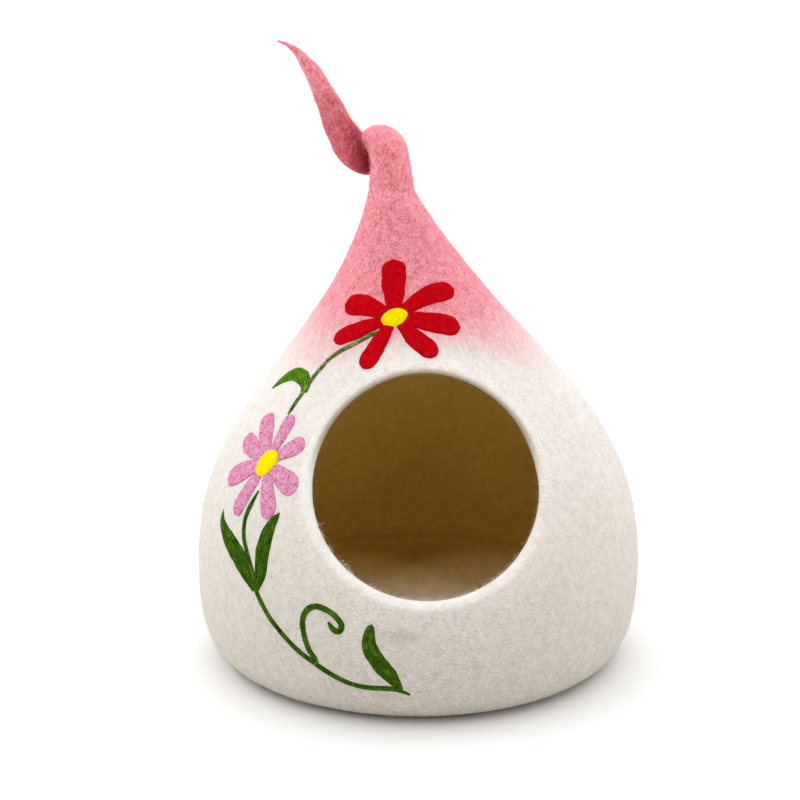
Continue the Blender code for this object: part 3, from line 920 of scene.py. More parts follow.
def flat_route(flower, start, end, bow=0.0):
    """A line in a flower's plane, bowed to its left, laid on the skin."""
    middle, across, up, square = flat_frame(flower)
    heading = (Vector(end) - Vector(start)).normalized()
    left = Vector((-heading.y, heading.x))
    route = []
    for step in range(ROUTE_PARTS + 1):
        share = step / ROUTE_PARTS
        place = Vector(start).lerp(Vector(end), share) + left * (bow * math.sin(math.pi * share))
        route.append(land(middle + across * place.x + up * place.y, square))
    return route


def flat_facts(route, width, outline):
    """Width, length and area of a pad before it was laid, from its outline."""
    length = sum((b - a).length for a, b in zip(route, route[1:]))
    widths = [2 * outline(station / PAD_STATIONS) for station in range(PAD_STATIONS + 1)]
    return width, length, length * sum(widths) / len(widths)


# %% Make a flower
def needle_on(node, slot, route, outline, thickness, softness, width=None,
              stations=PAD_STATIONS, across=PAD_ACROSS):
    """The pad that stands for a CAD node; with a width, it is a flat piece of wool."""
    pad = needled_pad(
        f"needled_{node}", route, outline, thickness, softness, stations, across
    )
    replaced[pad.name] = node
    slots[pad.name] = slot
    if width is not None:
        flat_sizes[pad.name] = flat_facts(route, width, outline)
    return pad


def build_flower(colour, flower, centre, petals):
    """The petals of a flower, and its centre."""
    turn = Matrix.Rotation(centre["turn"], 2)
    reach = turn @ Vector((centre["half_length"], 0.0))
    made = []
    for number, (tip_across, tip_up, width, bow) in enumerate(petals, 1):
        tip = Vector((tip_across, tip_up)) / 1000
        route = flat_route(flower, tip.normalized() * flower["petals_from"], tip, bow / 1000)
        width /= 1000
        petal = needle_on(
            f"{colour}_petal_{number}", f"{colour}_felt", route, petal_half_width(width),
            PETAL_THICKNESS, PETAL_SOFTNESS, width,
        )
        made.append(petal)
    middle = needle_on(
        f"{colour}_flower_centre", "yellow_felt", flat_route(flower, -reach, reach),
        oval_half_width(centre["half_width"]), CENTRE_THICKNESS, CENTRE_SOFTNESS,
        2 * centre["half_width"],
    )
    print(colour, "flower:", len(made), "petals")
    return made, middle


red_petals, red_centre = build_flower("red", RED_FLOWER, RED_CENTRE, RED_PETALS)
pink_petals, pink_centre = build_flower("pink", PINK_FLOWER, PINK_CENTRE, PINK_PETALS)

# %% [markdown]
# ## Stems and leaves
#
# The stems are thin rolls of green wool, and the leaves are pointed pads. Their routes are
# places on the skin, each an azimuth and a height.

# %% Routes of the stems
UPPER_STEM = (
    (-20.5, 0.3355), (-23.9, 0.3333), (-30.5, 0.3273), (-36.6, 0.3211), (-41.6, 0.3156),
    (-45.7, 0.3092), (-48.4, 0.3010), (-49.9, 0.2950), (-51.0, 0.2885), (-51.9, 0.2810),
    (-52.9, 0.2730), (-53.6, 0.2655), (-54.2, 0.2590),
)
LOWER_STEM = (
    (-52.6, 0.1960), (-53.4, 0.1868), (-54.1, 0.1783), (-54.5, 0.1677), (-53.7, 0.1556),
    (-51.7, 0.1446), (-50.2, 0.1378), (-47.8, 0.1250), (-46.6, 0.1140), (-44.6, 0.1030),
    (-41.0, 0.0880), (-35.2, 0.0713), (-31.8, 0.0632), (-28.5, 0.0573), (-25.3, 0.0508),
    (-21.7, 0.0448), (-18.1, 0.0403), (-14.1, 0.0389), (-10.1, 0.0393), (-7.1, 0.0383),
    (-4.1, 0.0335),
)
TENDRIL = (
    (-27.3, 0.0585), (-29.7, 0.0687), (-31.1, 0.0832), (-31.4, 0.0963), (-30.2, 0.1066),
    (-27.7, 0.1115), (-24.7, 0.1096), (-22.1, 0.1039), (-20.9, 0.0970), (-21.6, 0.0914),
    (-23.1, 0.0925), (-24.4, 0.0989),
)
STEMS = {
    "upper_stem": (UPPER_STEM, 0.0054, 60),
    "lower_stem": (LOWER_STEM, 0.0060, 110),
    "tendril": (TENDRIL, 0.0064, 80),
}
STEM_THICKNESS = 0.0014
STEM_ACROSS = 6
ROUTE_STEP = 0.002

# %% Routes of the leaves: width, where widest, share of it at the base, power of the tip
LEAVES = {
    "crescent_leaf": (
        ((-51.7, 0.2783), (-52.8, 0.2844), (-56.9, 0.2883), (-63.1, 0.2887),
         (-68.6, 0.2833), (-72.2, 0.2763), (-75.0, 0.2690)),
        0.0155, 0.30, 0.60, 0.62,
    ),
    "left_leaf": (
        ((-46.8, 0.1115), (-50.0, 0.1235), (-54.6, 0.1356), (-60.8, 0.1466),
         (-65.4, 0.1560), (-66.6, 0.1665)),
        0.0210, 0.38, 0.40, 0.62,
    ),
    "right_leaf": (
        ((-46.4, 0.1139), (-45.3, 0.1288), (-45.5, 0.1440), (-45.2, 0.1580),
         (-44.2, 0.1720), (-42.2, 0.1850)),
        0.0185, 0.42, 0.50, 0.62,
    ),
    "end_leaf": (
        ((-6.3, 0.0385), (-9.0, 0.0528), (-11.9, 0.0660), (-13.8, 0.0790),
         (-14.0, 0.0903), (-13.3, 0.1018)),
        0.0170, 0.40, 0.30, 0.42,
    ),
}


# %% Make stems and leaves
def skin_route(places):
    """A smooth route on the skin through places given by azimuth and height."""
    anchors = [tuple(on_skin(azimuth, height)) for azimuth, height in places]
    route = smooth_route(anchors, ROUTE_STEP)
    return [land(Vector(point), outward(Vector(point)), reach=SHORT_REACH) for point in route]


greens = []
for name, (places, width, stations) in STEMS.items():
    stem = needle_on(
        name, "green_felt", skin_route(places), stem_half_width(width),
        STEM_THICKNESS, 0.5 * width, stations=stations, across=STEM_ACROSS,
    )
    greens.append(stem)
for name, (places, width, fullest, base_share, tip_power) in LEAVES.items():
    outline = leaf_half_width(width, fullest, base_share, tip_power)
    leaf = needle_on(
        name, "green_felt", skin_route(places), outline, LEAF_THICKNESS, PETAL_SOFTNESS, width
    )
    greens.append(leaf)
all_pads = red_petals + [red_centre] + pink_petals + [pink_centre] + greens
print("green pieces:", len(greens), "and needled pieces in all:", len(all_pads))

# %% [markdown]
# ## Felt as a material
#
# Up close felt is a mat of fine fibres that lie every way, in slightly different shades.
# One node group makes that: three noises, each stretched along its own direction, give
# light and dark hairs, and a softer noise gives the clouds of an uneven blend. Every wool
# here uses the group with its own values.

# %% Node helpers
def new_group(name, inputs, outputs):
    """An empty shader node group with named sockets."""
    group = bpy.data.node_groups.new(name, "ShaderNodeTree")
    for label, kind, value in inputs:
        socket = group.interface.new_socket(label, in_out="INPUT", socket_type=kind)
        if value is not None:
            socket.default_value = value
    for label, kind in outputs:
        group.interface.new_socket(label, in_out="OUTPUT", socket_type=kind)
    return group, group.nodes.new("NodeGroupInput"), group.nodes.new("NodeGroupOutput")


def add_node(tree, kind, inputs=None, **settings):
    """A node with settings and inputs; an input is a value or another node's output."""
    node = tree.nodes.new(kind)
    for name, value in settings.items():
        setattr(node, name, value)
    for name, value in (inputs or {}).items():
        socket = node.inputs[name]
        if isinstance(value, bpy.types.NodeSocket):
            tree.links.new(value, socket)
        else:
            socket.default_value = value
    return node


def maths(tree, operation, first, second=0.0, clamp=False):
    return add_node(
        tree, "ShaderNodeMath", {0: first, 1: second}, operation=operation, use_clamp=clamp
    ).outputs[0]


def centred(tree, value, spread):
    """A value from 0 to 1, made to swing by half the spread either way round 0."""
    return add_node(
        tree, "ShaderNodeMath", {0: value, 1: spread, 2: -0.5 * spread}, operation="MULTIPLY_ADD"
    ).outputs[0]


def vector_maths(tree, operation, inputs, output="Vector"):
    return add_node(tree, "ShaderNodeVectorMath", inputs, operation=operation).outputs[output]


def mapped(tree, place, turn=(0.0, 0.0, 0.0), scale=(1.0, 1.0, 1.0)):
    return add_node(
        tree, "ShaderNodeMapping", {"Vector": place, "Rotation": turn, "Scale": scale}
    ).outputs[0]


def noise_at(tree, place, scale, detail, roughness=0.5, output="Fac"):
    return add_node(
        tree,
        "ShaderNodeTexNoise",
        {"Vector": place, "Scale": scale, "Detail": detail, "Roughness": roughness},
    ).outputs[output]


def mixed(tree, share, first, second):
    """A colour between two, by share."""
    node = add_node(tree, "ShaderNodeMix", data_type="RGBA")
    factor, one, other = node.inputs[0], node.inputs[6], node.inputs[7]
    for socket, value in ((factor, share), (one, first), (other, second)):
        if isinstance(value, bpy.types.NodeSocket):
            tree.links.new(value, socket)
        else:
            socket.default_value = value
    return node.outputs[2]


def attribute(tree, name, output="Fac"):
    return add_node(tree, "ShaderNodeAttribute", attribute_name=name).outputs[output]


def ranged(tree, value, low, high, to_low=0.0, to_high=1.0, smooth=True):
    return add_node(
        tree,
        "ShaderNodeMapRange",
        {"Value": value, "From Min": low, "From Max": high, "To Min": to_low, "To Max": to_high},
        interpolation_type="SMOOTHSTEP" if smooth else "LINEAR",
    ).outputs[0]


# %% The fibre group
FIBRE_WAYS = (
    ((0.0, 0.35, 0.0), (1.0, 1.0, 0.16)),
    ((0.0, -0.9, 0.4), (1.0, 1.0, 0.16)),
    ((0.5, 1.5, 1.2), (1.0, 1.0, 0.16)),
)
WARP_SCALE = 120.0
WARP_REACH = 0.006
FIBRE_ROUGHNESS = 0.6
CLOUD_ROUGHNESS = 0.62
HAIRS_IN_HEIGHT = 0.8
CLOUDS_IN_HEIGHT = 0.35


def fibre_group():
    group, start, end = new_group(
        "wool_fibres",
        [
            ("Place", "NodeSocketVector", None),
            ("Fibre Scale", "NodeSocketFloat", 900.0),
            ("Cloud Scale", "NodeSocketFloat", 45.0),
        ],
        [
            ("Hairs", "NodeSocketFloat"),
            ("Clouds", "NodeSocketFloat"),
            ("Height", "NodeSocketFloat"),
        ],
    )
    place = start.outputs["Place"]
    warp = noise_at(group, place, WARP_SCALE, 2.0, output="Color")
    bent = vector_maths(group, "MULTIPLY_ADD", {0: warp, 1: (WARP_REACH,) * 3, 2: place})
    fibre_scale = start.outputs["Fibre Scale"]
    layers = [
        noise_at(group, mapped(group, bent, turn, stretch), fibre_scale, 2.0, FIBRE_ROUGHNESS)
        for turn, stretch in FIBRE_WAYS
    ]
    total = maths(group, "ADD", maths(group, "ADD", layers[0], layers[1]), layers[2])
    hairs = maths(group, "DIVIDE", total, float(len(layers)))
    clouds = noise_at(group, place, start.outputs["Cloud Scale"], 4.0, CLOUD_ROUGHNESS)
    fine = maths(group, "MULTIPLY", hairs, HAIRS_IN_HEIGHT)
    coarse = maths(group, "MULTIPLY", clouds, CLOUDS_IN_HEIGHT)
    height = maths(group, "ADD", fine, coarse)
    group.links.new(hairs, end.inputs["Hairs"])
    group.links.new(clouds, end.inputs["Clouds"])
    group.links.new(height, end.inputs["Height"])
    return group


FIBRES = fibre_group()


# %% Blended wool colours
def fibre_node(tree, place, fibre_scale, cloud_scale):
    node = add_node(tree, "ShaderNodeGroup", node_tree=FIBRES)
    tree.links.new(place, node.inputs["Place"])
    node.inputs["Fibre Scale"].default_value = fibre_scale
    node.inputs["Cloud Scale"].default_value = cloud_scale
    return node


def blended(tree, fibres, dark, middle, light, spread=0.10, cloud=0.45):
    """Three shades of wool, mixed by the fibres and clouds."""
    clouds = centred(tree, fibres.outputs["Clouds"], cloud)
    blend = maths(tree, "ADD", fibres.outputs["Hairs"], clouds)
    darker = ranged(tree, blend, 0.5 - spread, 0.5)
    lighter = ranged(tree, blend, 0.5, 0.5 + spread)
    return mixed(tree, lighter, mixed(tree, darker, (*dark, 1), (*middle, 1)), (*light, 1))


def felt_surface(material, colour, height, bump=0.5, depth=0.0006, sheen=0.0, gloss=0.1):
    """The shader that all felts share: rough, slightly downy, with the fibres as bump."""
    tree = material.node_tree
    shader = tree.nodes["Principled BSDF"]
    tree.links.new(colour, shader.inputs["Base Color"])
    shader.inputs["Roughness"].default_value = 0.95
    shader.inputs["Specular IOR Level"].default_value = gloss
    shader.inputs["Sheen Weight"].default_value = sheen
    shader.inputs["Sheen Roughness"].default_value = 0.5
    relief = add_node(
        tree, "ShaderNodeBump", {"Strength": bump, "Distance": depth, "Height": height}
    )
    tree.links.new(relief.outputs[0], shader.inputs["Normal"])


def new_felt(name):
    material = bpy.data.materials.new(name)
    material.use_nodes = True
    return material


# %% [markdown]
# ## Dyed wool of the flowers
#
# Each dyed wool gets three shades. The pink petals are a blend of pink and magenta wool,
# which shows as fine dark flecks. A piece is darker at its edge, where it curves down into
# the shell: painted shade. In the stems and leaves the fibres lie lengthwise, and the upper
# stem and its leaf are paler, because less wool was used there.

# %% Flower materials
DYED = {
    "red_felt": ((0.40, 0.0004, 0.003), (0.56, 0.0006, 0.006), (0.66, 0.006, 0.014), 0.14),
    "pink_felt": ((0.44, 0.06, 0.20), (0.74, 0.285, 0.465), (0.86, 0.46, 0.62), 0.085),
    "yellow_felt": ((0.93, 0.62, 0.001), (0.99, 0.78, 0.001), (1.0, 0.85, 0.01), 0.16),
    "green_felt": ((0.010, 0.035, 0.001), (0.033, 0.088, 0.003), (0.100, 0.200, 0.014), 0.12),
    "light_green_felt": ((0.03, 0.09, 0.002), (0.070, 0.190, 0.008), (0.15, 0.33, 0.020), 0.12),
    "olive_felt": ((0.040, 0.075, 0.008), (0.115, 0.165, 0.030), (0.36, 0.41, 0.19), 0.09),
}
WOOL_SCALES = {"pink_felt": (1500.0, 420.0), "olive_felt": (1300.0, 200.0)}
USUAL_SCALES = (1400.0, 220.0)
PALER_GREENS = {
    "needled_crescent_leaf": "light_green_felt",
    "needled_upper_stem": "olive_felt",
}
FIBRES_ALONG = ("green_felt", "light_green_felt", "olive_felt")
LENGTHWISE = (0.3, 1.0, 1.0)
EDGE_TO = 0.0007
EDGE_SHADE = 0.55
dyed_felts = {}
for name, (dark, middle, light, spread) in DYED.items():
    felt = new_felt(name + "_wool")
    tree = felt.node_tree
    place = attribute(tree, "along", "Vector")
    if name in FIBRES_ALONG:
        place = mapped(tree, place, scale=LENGTHWISE)
    fibres = fibre_node(tree, place, *WOOL_SCALES.get(name, USUAL_SCALES))
    colour = blended(tree, fibres, dark, middle, light, spread)
    # Painted shade: each piece darkens towards its edge, where it curves down into the shell.
    edge = ranged(tree, attribute(tree, "swell"), -PAD_EDGE_SUNK, EDGE_TO, EDGE_SHADE, 0.0)
    colour = mixed(tree, edge, colour, (*dark, 1))
    felt_surface(felt, colour, fibres.outputs["Height"], gloss=0.02)
    dyed_felts[name] = felt

for pad in all_pads:
    wool = PALER_GREENS.get(pad.name, slots[pad.name])
    pad.data.materials.append(dyed_felts[wool])
print("dyed felts:", len(dyed_felts))

# %% [markdown]
# ## The shell's felt
#
# Natural white wool fades into pink in streaks: pink fibres reach down between white
# ones. The fade is a height with the fibre streaks added to it, and the white collar of
# the entrance pushes it up. Inside, the shell has a layer of brown wool.

# %% Shell material
WHITE = ((0.70, 0.645, 0.59), (0.84, 0.793, 0.742), (0.91, 0.88, 0.845))
# A darker, warmer copy of the white for the lower body: painted shade.
LOW_WHITE_IN_PAINTED_SHADE = ((0.50, 0.435, 0.35), (0.66, 0.60, 0.515), (0.79, 0.74, 0.66))
# White of the painted highlight on the entrance's roll.
LIP_HIGHLIGHT_WHITE = ((0.80, 0.765, 0.705), (0.89, 0.86, 0.80), (0.94, 0.92, 0.88))
# Brown of the painted shade in the creases inside and under the roll above the entrance.
SHADED_BROWN = (0.17, 0.10, 0.010)
PINK = ((0.58, 0.09, 0.125), (0.89, 0.28, 0.335), (0.96, 0.50, 0.54))
# Pink of the strand: partly darker wool, partly painted shade.
DEEP_PINK = ((0.30, 0.012, 0.028), (0.53, 0.066, 0.095), (0.80, 0.21, 0.255))
# Pink of the painted shade in the tail's crease.
CREASE_SHADE_PINK = (0.19, 0.004, 0.012)
NECK_PINK = ((0.64, 0.085, 0.12), (0.97, 0.30, 0.355), (1.0, 0.54, 0.58))
NECK_FROM = (0.40, 0.46)
SHADED_WHITE = (0.34, 0.28, 0.17)
BROWN = ((0.60, 0.405, 0.080), (0.685, 0.475, 0.11), (0.755, 0.545, 0.15))
BEIGE = (0.90, 0.81, 0.74)
FADE_HEIGHT = 0.3175
FADE_HALF = 0.044
COLLAR_LIFT = 0.051
# Grey of the painted shade in the dent under the entrance.
DENT_SHADE_GREY = (0.33, 0.30, 0.25)
STREAK_SWING = 0.12
DENT_STRETCH = (0.6, 1.0, 1.7)
DENT_REACH = 1.6
MATTED_TURN = (0.25, 1.25, 0.2)
STREAK_STRETCH = (1.0, 1.0, 0.38)
BRUSHED_STRETCH = (1.0, 0.35, 1.0)
UNDER_ROLL_SHADE = 0.85
LIP_RAGGED = 1.2
INNER_FRAY = 0.9


def pink_share(tree, height, streaks, collar):
    """How pink the wool is: 0 below the fade and 1 above it."""
    lowered = maths(tree, "SUBTRACT", height, maths(tree, "MULTIPLY", collar, COLLAR_LIFT))
    swing = maths(tree, "MULTIPLY", maths(tree, "SUBTRACT", streaks, 0.5), STREAK_SWING)
    streaked = maths(tree, "ADD", lowered, swing)
    return ranged(tree, streaked, FADE_HEIGHT - FADE_HALF, FADE_HEIGHT + FADE_HALF)


def dent_shade_share(tree, place, matted):
    """Painted shade: grey wrinkles in the dent under the entrance."""
    offset = vector_maths(tree, "SUBTRACT", {0: place, 1: tuple(DENT_MIDDLE)})
    flattened = vector_maths(tree, "MULTIPLY", {0: offset, 1: DENT_STRETCH})
    reach = vector_maths(tree, "LENGTH", {0: flattened}, "Value")
    near = ranged(tree, reach, 0.0, DENT_REACH * DENT["radius"], 1.0, 0.0)
    return maths(tree, "MULTIPLY", near, ranged(tree, matted, 0.46, 0.60))


shell_felt = new_felt("shell_wool")
tree = shell_felt.node_tree
along = attribute(tree, "along", "Vector")
place = add_node(tree, "ShaderNodeTexCoord").outputs["Object"]
height = add_node(tree, "ShaderNodeSeparateXYZ", {0: place}).outputs["Z"]
fibres = fibre_node(tree, place, 1300.0, 130.0)
matted = fibre_node(tree, mapped(tree, place, turn=MATTED_TURN), 1150.0, 130.0)
streaks = noise_at(tree, mapped(tree, along, scale=STREAK_STRETCH), 300.0, 5.0, 0.8)

# %% The white wool of the shell
high_white = blended(tree, matted, *WHITE, spread=0.12, cloud=0.28)
# Painted shade: the lower body gets the darker, warmer copy of the white, where less light falls, and it
# gives way to the lit white higher up.
low_white_in_painted_shade = blended(tree, matted, *LOW_WHITE_IN_PAINTED_SHADE, spread=0.13, cloud=0.28)
white = mixed(tree, ranged(tree, height, -0.02, 0.30), low_white_in_painted_shade, high_white)
# Painted shade, grey, in the dent under the entrance.
white = mixed(tree, dent_shade_share(tree, place, matted.outputs["Hairs"]), white, (*DENT_SHADE_GREY, 1))
# Painted highlight: the entrance's roll is whitened, most on its lower left.
lip_highlight_white = blended(tree, matted, *LIP_HIGHLIGHT_WHITE, spread=0.15, cloud=0.28)
ragged = centred(tree, matted.outputs["Hairs"], LIP_RAGGED)
lip_highlight_share = ranged(tree, maths(tree, "ADD", attribute(tree, "lip"), ragged), 0.05, 0.95)
white = mixed(tree, lip_highlight_share, white, lip_highlight_white)

# %% The pink wool of the shell
pink = blended(tree, fibres, *PINK, spread=0.11, cloud=0.22)
# The strand's darker wool together with painted shade in the creases.
dark_wool_and_shade = attribute(tree, "deep")
deep_pink = blended(tree, fibres, *DEEP_PINK, spread=0.12, cloud=0.30)
neck_pink = blended(tree, fibres, *NECK_PINK, spread=0.10, cloud=0.22)
pink = mixed(tree, ranged(tree, height, *NECK_FROM), pink, neck_pink)
# The strand's deeper pink: partly darker wool, partly painted shade.
pink = mixed(tree, ranged(tree, dark_wool_and_shade, 0.0, 1.4, 0.0, 0.85), pink, deep_pink)
# Painted shade: near-black pink in the tail's crease and on the fold's side beside it.
pink = mixed(tree, ranged(tree, dark_wool_and_shade, 1.0, 3.0, smooth=False), pink, (*CREASE_SHADE_PINK, 1))

# %% The brown wool inside, and all of it together
under_roll = attribute(tree, "under_roll")
brown = blended(tree, fibres, *BROWN, spread=0.16)
# Painted shade: the brown darkens in the creases inside and under the roll above the entrance.
brown = mixed(tree, maths(tree, "MAXIMUM", dark_wool_and_shade, under_roll), brown, (*SHADED_BROWN, 1))
share = pink_share(tree, height, streaks, attribute(tree, "collar"))
outside = mixed(tree, share, white, pink)
# Painted shade on the outer felt where the roll above the entrance turns under.
outside = mixed(tree, maths(tree, "MULTIPLY", under_roll, UNDER_ROLL_SHADE), outside, (*SHADED_WHITE, 1))
floor_streaks = noise_at(tree, mapped(tree, place, scale=BRUSHED_STRETCH), 110.0, 4.0)
# The floor near the entrance turns paler and beige, in brushed streaks and flecks.
pale_floor_streaks = ranged(tree, floor_streaks, 0.35, 0.62, 0.74, 1.10)
flecks = ranged(tree, matted.outputs["Hairs"], 0.40, 0.60, 0.45, 1.55, smooth=False)
pale_floor_streaks = maths(tree, "MULTIPLY", pale_floor_streaks, flecks)
pale_floor = maths(tree, "MULTIPLY", attribute(tree, "pale"), pale_floor_streaks, clamp=True)
inside = mixed(tree, pale_floor, brown, (*BEIGE, 1))
fray = centred(tree, matted.outputs["Hairs"], INNER_FRAY)
inner_share = ranged(tree, maths(tree, "ADD", attribute(tree, "inner"), fray), 0.30, 0.80)
colour = mixed(tree, inner_share, outside, inside)
felt_surface(shell_felt, colour, matted.outputs["Height"], sheen=0.16)
shell.data.materials.clear()
shell.data.materials.append(shell_felt)
print("shell felt:", len(tree.nodes), "nodes")

# %% [markdown]
# ## Loose hairs
#
# Felt is never quite smooth: hairs stand out of it, most of all on the entrance's roll and
# on the tail. One bent hair is modelled, and Geometry Nodes scatters it over the shell by
# the `fuzz` attribute, turns each copy at random about the skin's normal, and makes the
# copies real. A hair system would look alike, but it would not be a mesh. The shell's
# hairs are made in two layers, so that neither is too heavy a mesh.

# %% One hair
HAIR_LENGTH = 0.0075
HAIR_RADIUS = 0.000075
HAIR_PARTS = 4
HAIR_START = math.radians(35)
HAIR_BEND = math.radians(95)
HAIR_TIP = 0.45


def build_hair():
    """A three-sided tapering hair that starts at the origin and bends over from +Z."""
    mesh = bmesh.new()
    bmesh.ops.create_cone(
        mesh, cap_ends=True, segments=3, radius1=1.0, radius2=HAIR_TIP, depth=1.0
    )
    sides = [edge for edge in mesh.edges if abs(edge.verts[0].co.z - edge.verts[1].co.z) > 0.5]
    bmesh.ops.subdivide_edges(mesh, edges=sides, cuts=HAIR_PARTS - 1)
    radius = HAIR_LENGTH / HAIR_BEND
    for vertex in mesh.verts:
        along = vertex.co.z + 0.5
        turn = HAIR_START + HAIR_BEND * along
        spine = Vector((
            radius * (math.cos(HAIR_START) - math.cos(turn)),
            0.0,
            radius * (math.sin(turn) - math.sin(HAIR_START)),
        ))
        square = Vector((math.cos(turn), 0.0, -math.sin(turn)))
        wide = HAIR_RADIUS * vertex.co.x
        vertex.co = spine + square * wide + Vector((0, HAIR_RADIUS * vertex.co.y, 0))
    bmesh.ops.recalc_face_normals(mesh, faces=mesh.faces)
    hair = mesh_object("hair", mesh)
    print("one hair:", len(hair.data.polygons), "faces")
    return hair


# %% Scatter hairs
HAIRS_PER_SQUARE_METRE = 14500
HAIR_LAYERS = 2
PAD_HAIRS_PER_SQUARE_METRE = 150000
HAIR_SIZES = (0.4, 1.4)
PAD_HAIR_SIZES = (0.25, 0.60)
HAIR_SEED = 7
LAYER_SEED_STEP = 100
PAD_HAIR_SEED = 17
HAIR_TILT = (0.5, 0.3, 0.0)


def hair_scatter(hair, density, sizes, seed):
    """Geometry Nodes that cover a felt with hairs, by its fuzz attribute."""
    nodes = bpy.data.node_groups.new("scatter_hairs", "GeometryNodeTree")
    nodes.interface.new_socket("Felt", in_out="INPUT", socket_type="NodeSocketGeometry")
    nodes.interface.new_socket("Hairs", in_out="OUTPUT", socket_type="NodeSocketGeometry")
    start = nodes.nodes.new("NodeGroupInput")
    end = nodes.nodes.new("NodeGroupOutput")
    fuzz = add_node(nodes, "GeometryNodeInputNamedAttribute", {"Name": "fuzz"}, data_type="FLOAT")
    many = add_node(
        nodes, "ShaderNodeMath", {0: fuzz.outputs[0], 1: density}, operation="MULTIPLY"
    )
    spots = add_node(
        nodes,
        "GeometryNodeDistributePointsOnFaces",
        {"Mesh": start.outputs[0], "Density": many.outputs[0], "Seed": seed},
        distribute_method="RANDOM",
    )
    tilt = Vector(HAIR_TILT)
    spin = add_node(
        nodes,
        "FunctionNodeRandomValue",
        {"Min": -tilt, "Max": tilt + Vector((0, 0, 2 * math.pi)), "Seed": seed + 1},
        data_type="FLOAT_VECTOR",
    )
    spun = add_node(nodes, "FunctionNodeEulerToRotation", {0: spin.outputs[0]})
    turned = add_node(
        nodes,
        "FunctionNodeRotateRotation",
        {"Rotation": spots.outputs["Rotation"], "Rotate By": spun.outputs[0]},
        rotation_space="LOCAL",
    )
    size = add_node(
        nodes,
        "FunctionNodeRandomValue",
        {2: sizes[0], 3: sizes[1], "Seed": seed + 2},
        data_type="FLOAT",
    )
    copies = add_node(nodes, "GeometryNodeObjectInfo", {"Object": hair})
    placed = add_node(
        nodes,
        "GeometryNodeInstanceOnPoints",
        {
            "Points": spots.outputs["Points"],
            "Instance": copies.outputs["Geometry"],
            "Rotation": turned.outputs[0],
            "Scale": size.outputs[1],
        },
    )
    real = add_node(nodes, "GeometryNodeRealizeInstances", {0: placed.outputs[0]})
    nodes.links.new(real.outputs[0], end.inputs[0])
    return nodes


def hairy(name, sources, density, sizes, seed):
    """The loose hairs of one or more felts, as one mesh."""
    mesh = bmesh.new()
    for source in sources:
        mesh.from_mesh(source.data)
    felt = mesh_object(name, mesh)
    scatter = felt.modifiers.new("scatter", "NODES")
    scatter.node_group = hair_scatter(hair, density, sizes, seed)
    apply_modifiers(felt)
    felt.data.materials.clear()
    print(name, len(felt.data.polygons), "faces")
    return felt


# %% Hairs beside the flowers
CLEAR_OF_PADS = 0.0045


def keep_hairs_off(felt, pads):
    """Sets the fuzz to nothing where a needled pad covers the felt."""
    places = [vertex.co for pad in pads for vertex in pad.data.vertices]
    tree = KDTree(len(places))
    for index, place in enumerate(places):
        tree.insert(place, index)
    tree.balance()
    fuzz = felt.data.attributes["fuzz"]
    covered = 0
    for vertex in felt.data.vertices:
        if tree.find(vertex.co)[2] < CLEAR_OF_PADS:
            fuzz.data[vertex.index].value = 0.0
            covered += 1
    print("covered vertices:", covered)


hair = build_hair()
keep_hairs_off(shell, all_pads)
loose_hairs = [
    hairy(
        f"loose_hairs_{layer}", [shell], HAIRS_PER_SQUARE_METRE, HAIR_SIZES,
        HAIR_SEED + LAYER_SEED_STEP * layer,
    )
    for layer in range(1, HAIR_LAYERS + 1)
]
pad_hairs = []
for wool, pads in (("red_felt", red_petals), ("pink_felt", pink_petals), ("green_felt", greens)):
    downy = hairy(
        f"{wool}_hairs", pads, PAD_HAIRS_PER_SQUARE_METRE, PAD_HAIR_SIZES, PAD_HAIR_SEED
    )
    downy.data.materials.append(dyed_felts[wool])
    slots[downy.name] = wool
    pad_hairs.append(downy)
bpy.data.objects.remove(hair)

# %% Wool of the loose hairs
HAIR_WHITE = (0.93, 0.90, 0.84)
HAIR_PINK = (0.95, 0.42, 0.47)
HAIR_DARK = 0.80
hair_felt = new_felt("hair_wool")
tree = hair_felt.node_tree
place = add_node(tree, "ShaderNodeTexCoord").outputs["Object"]
height = add_node(tree, "ShaderNodeSeparateXYZ", {0: place}).outputs["Z"]
shade = noise_at(tree, place, 400.0, 2.0)
share = pink_share(tree, height, shade, attribute(tree, "collar"))
colour = mixed(tree, share, (*HAIR_WHITE, 1), (*HAIR_PINK, 1))
darker = vector_maths(tree, "SCALE", {0: colour, "Scale": HAIR_DARK})
colour = mixed(tree, ranged(tree, shade, 0.40, 0.60), colour, darker)
felt_surface(hair_felt, colour, shade, bump=0.1)
for layer in loose_hairs:
    layer.data.materials.append(hair_felt)
    slots[layer.name] = "natural_white_felt"

# %% [markdown]
# ## The felt laid flat
#
# Wet wool is laid on both sides of a flat, drop-shaped resist. Side by side the two layers
# are as wide as the belly is round, and as long as the way from the middle of the base to
# the neck. The tail is a solid roll and isn't counted. How much felt that is comes from
# the outline alone: the middle of the wall as a lathe shape, with the base and without the
# entrance. It doesn't use the finished mesh, so it can be compared with it.


def felt_area():
    """Flat area of the shell's felt, from its outline, base and entrance."""
    radii = 0.5 * (OUTLINE[1:, 1] + OUTLINE[:-1, 1]) - 0.5 * FELT
    side = 2 * math.pi * float(np.sum(radii * LENGTHS))
    return side + math.pi * (BASE_RADIUS**2 - ENTRANCE_RADIUS**2)


half_skin = 0.5 * sum(face.area for face in shell.data.polygons)
print(f"felt laid out: {felt_area():.3f}, in the finished shell: {half_skin:.3f} square metres")
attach(shell, "root")
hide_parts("shell")
for downy in loose_hairs + pad_hairs:
    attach(downy, "root")
for pad in all_pads:
    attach(pad, "root")
    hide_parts(replaced[pad.name])
    if pad.name in flat_sizes:
        width, length, area = flat_sizes[pad.name]

# %% [markdown]
# ## Stage
#
# The photograph is a catalogue picture: the cave stands on a white floor that runs into a
# white background, under even light from above.

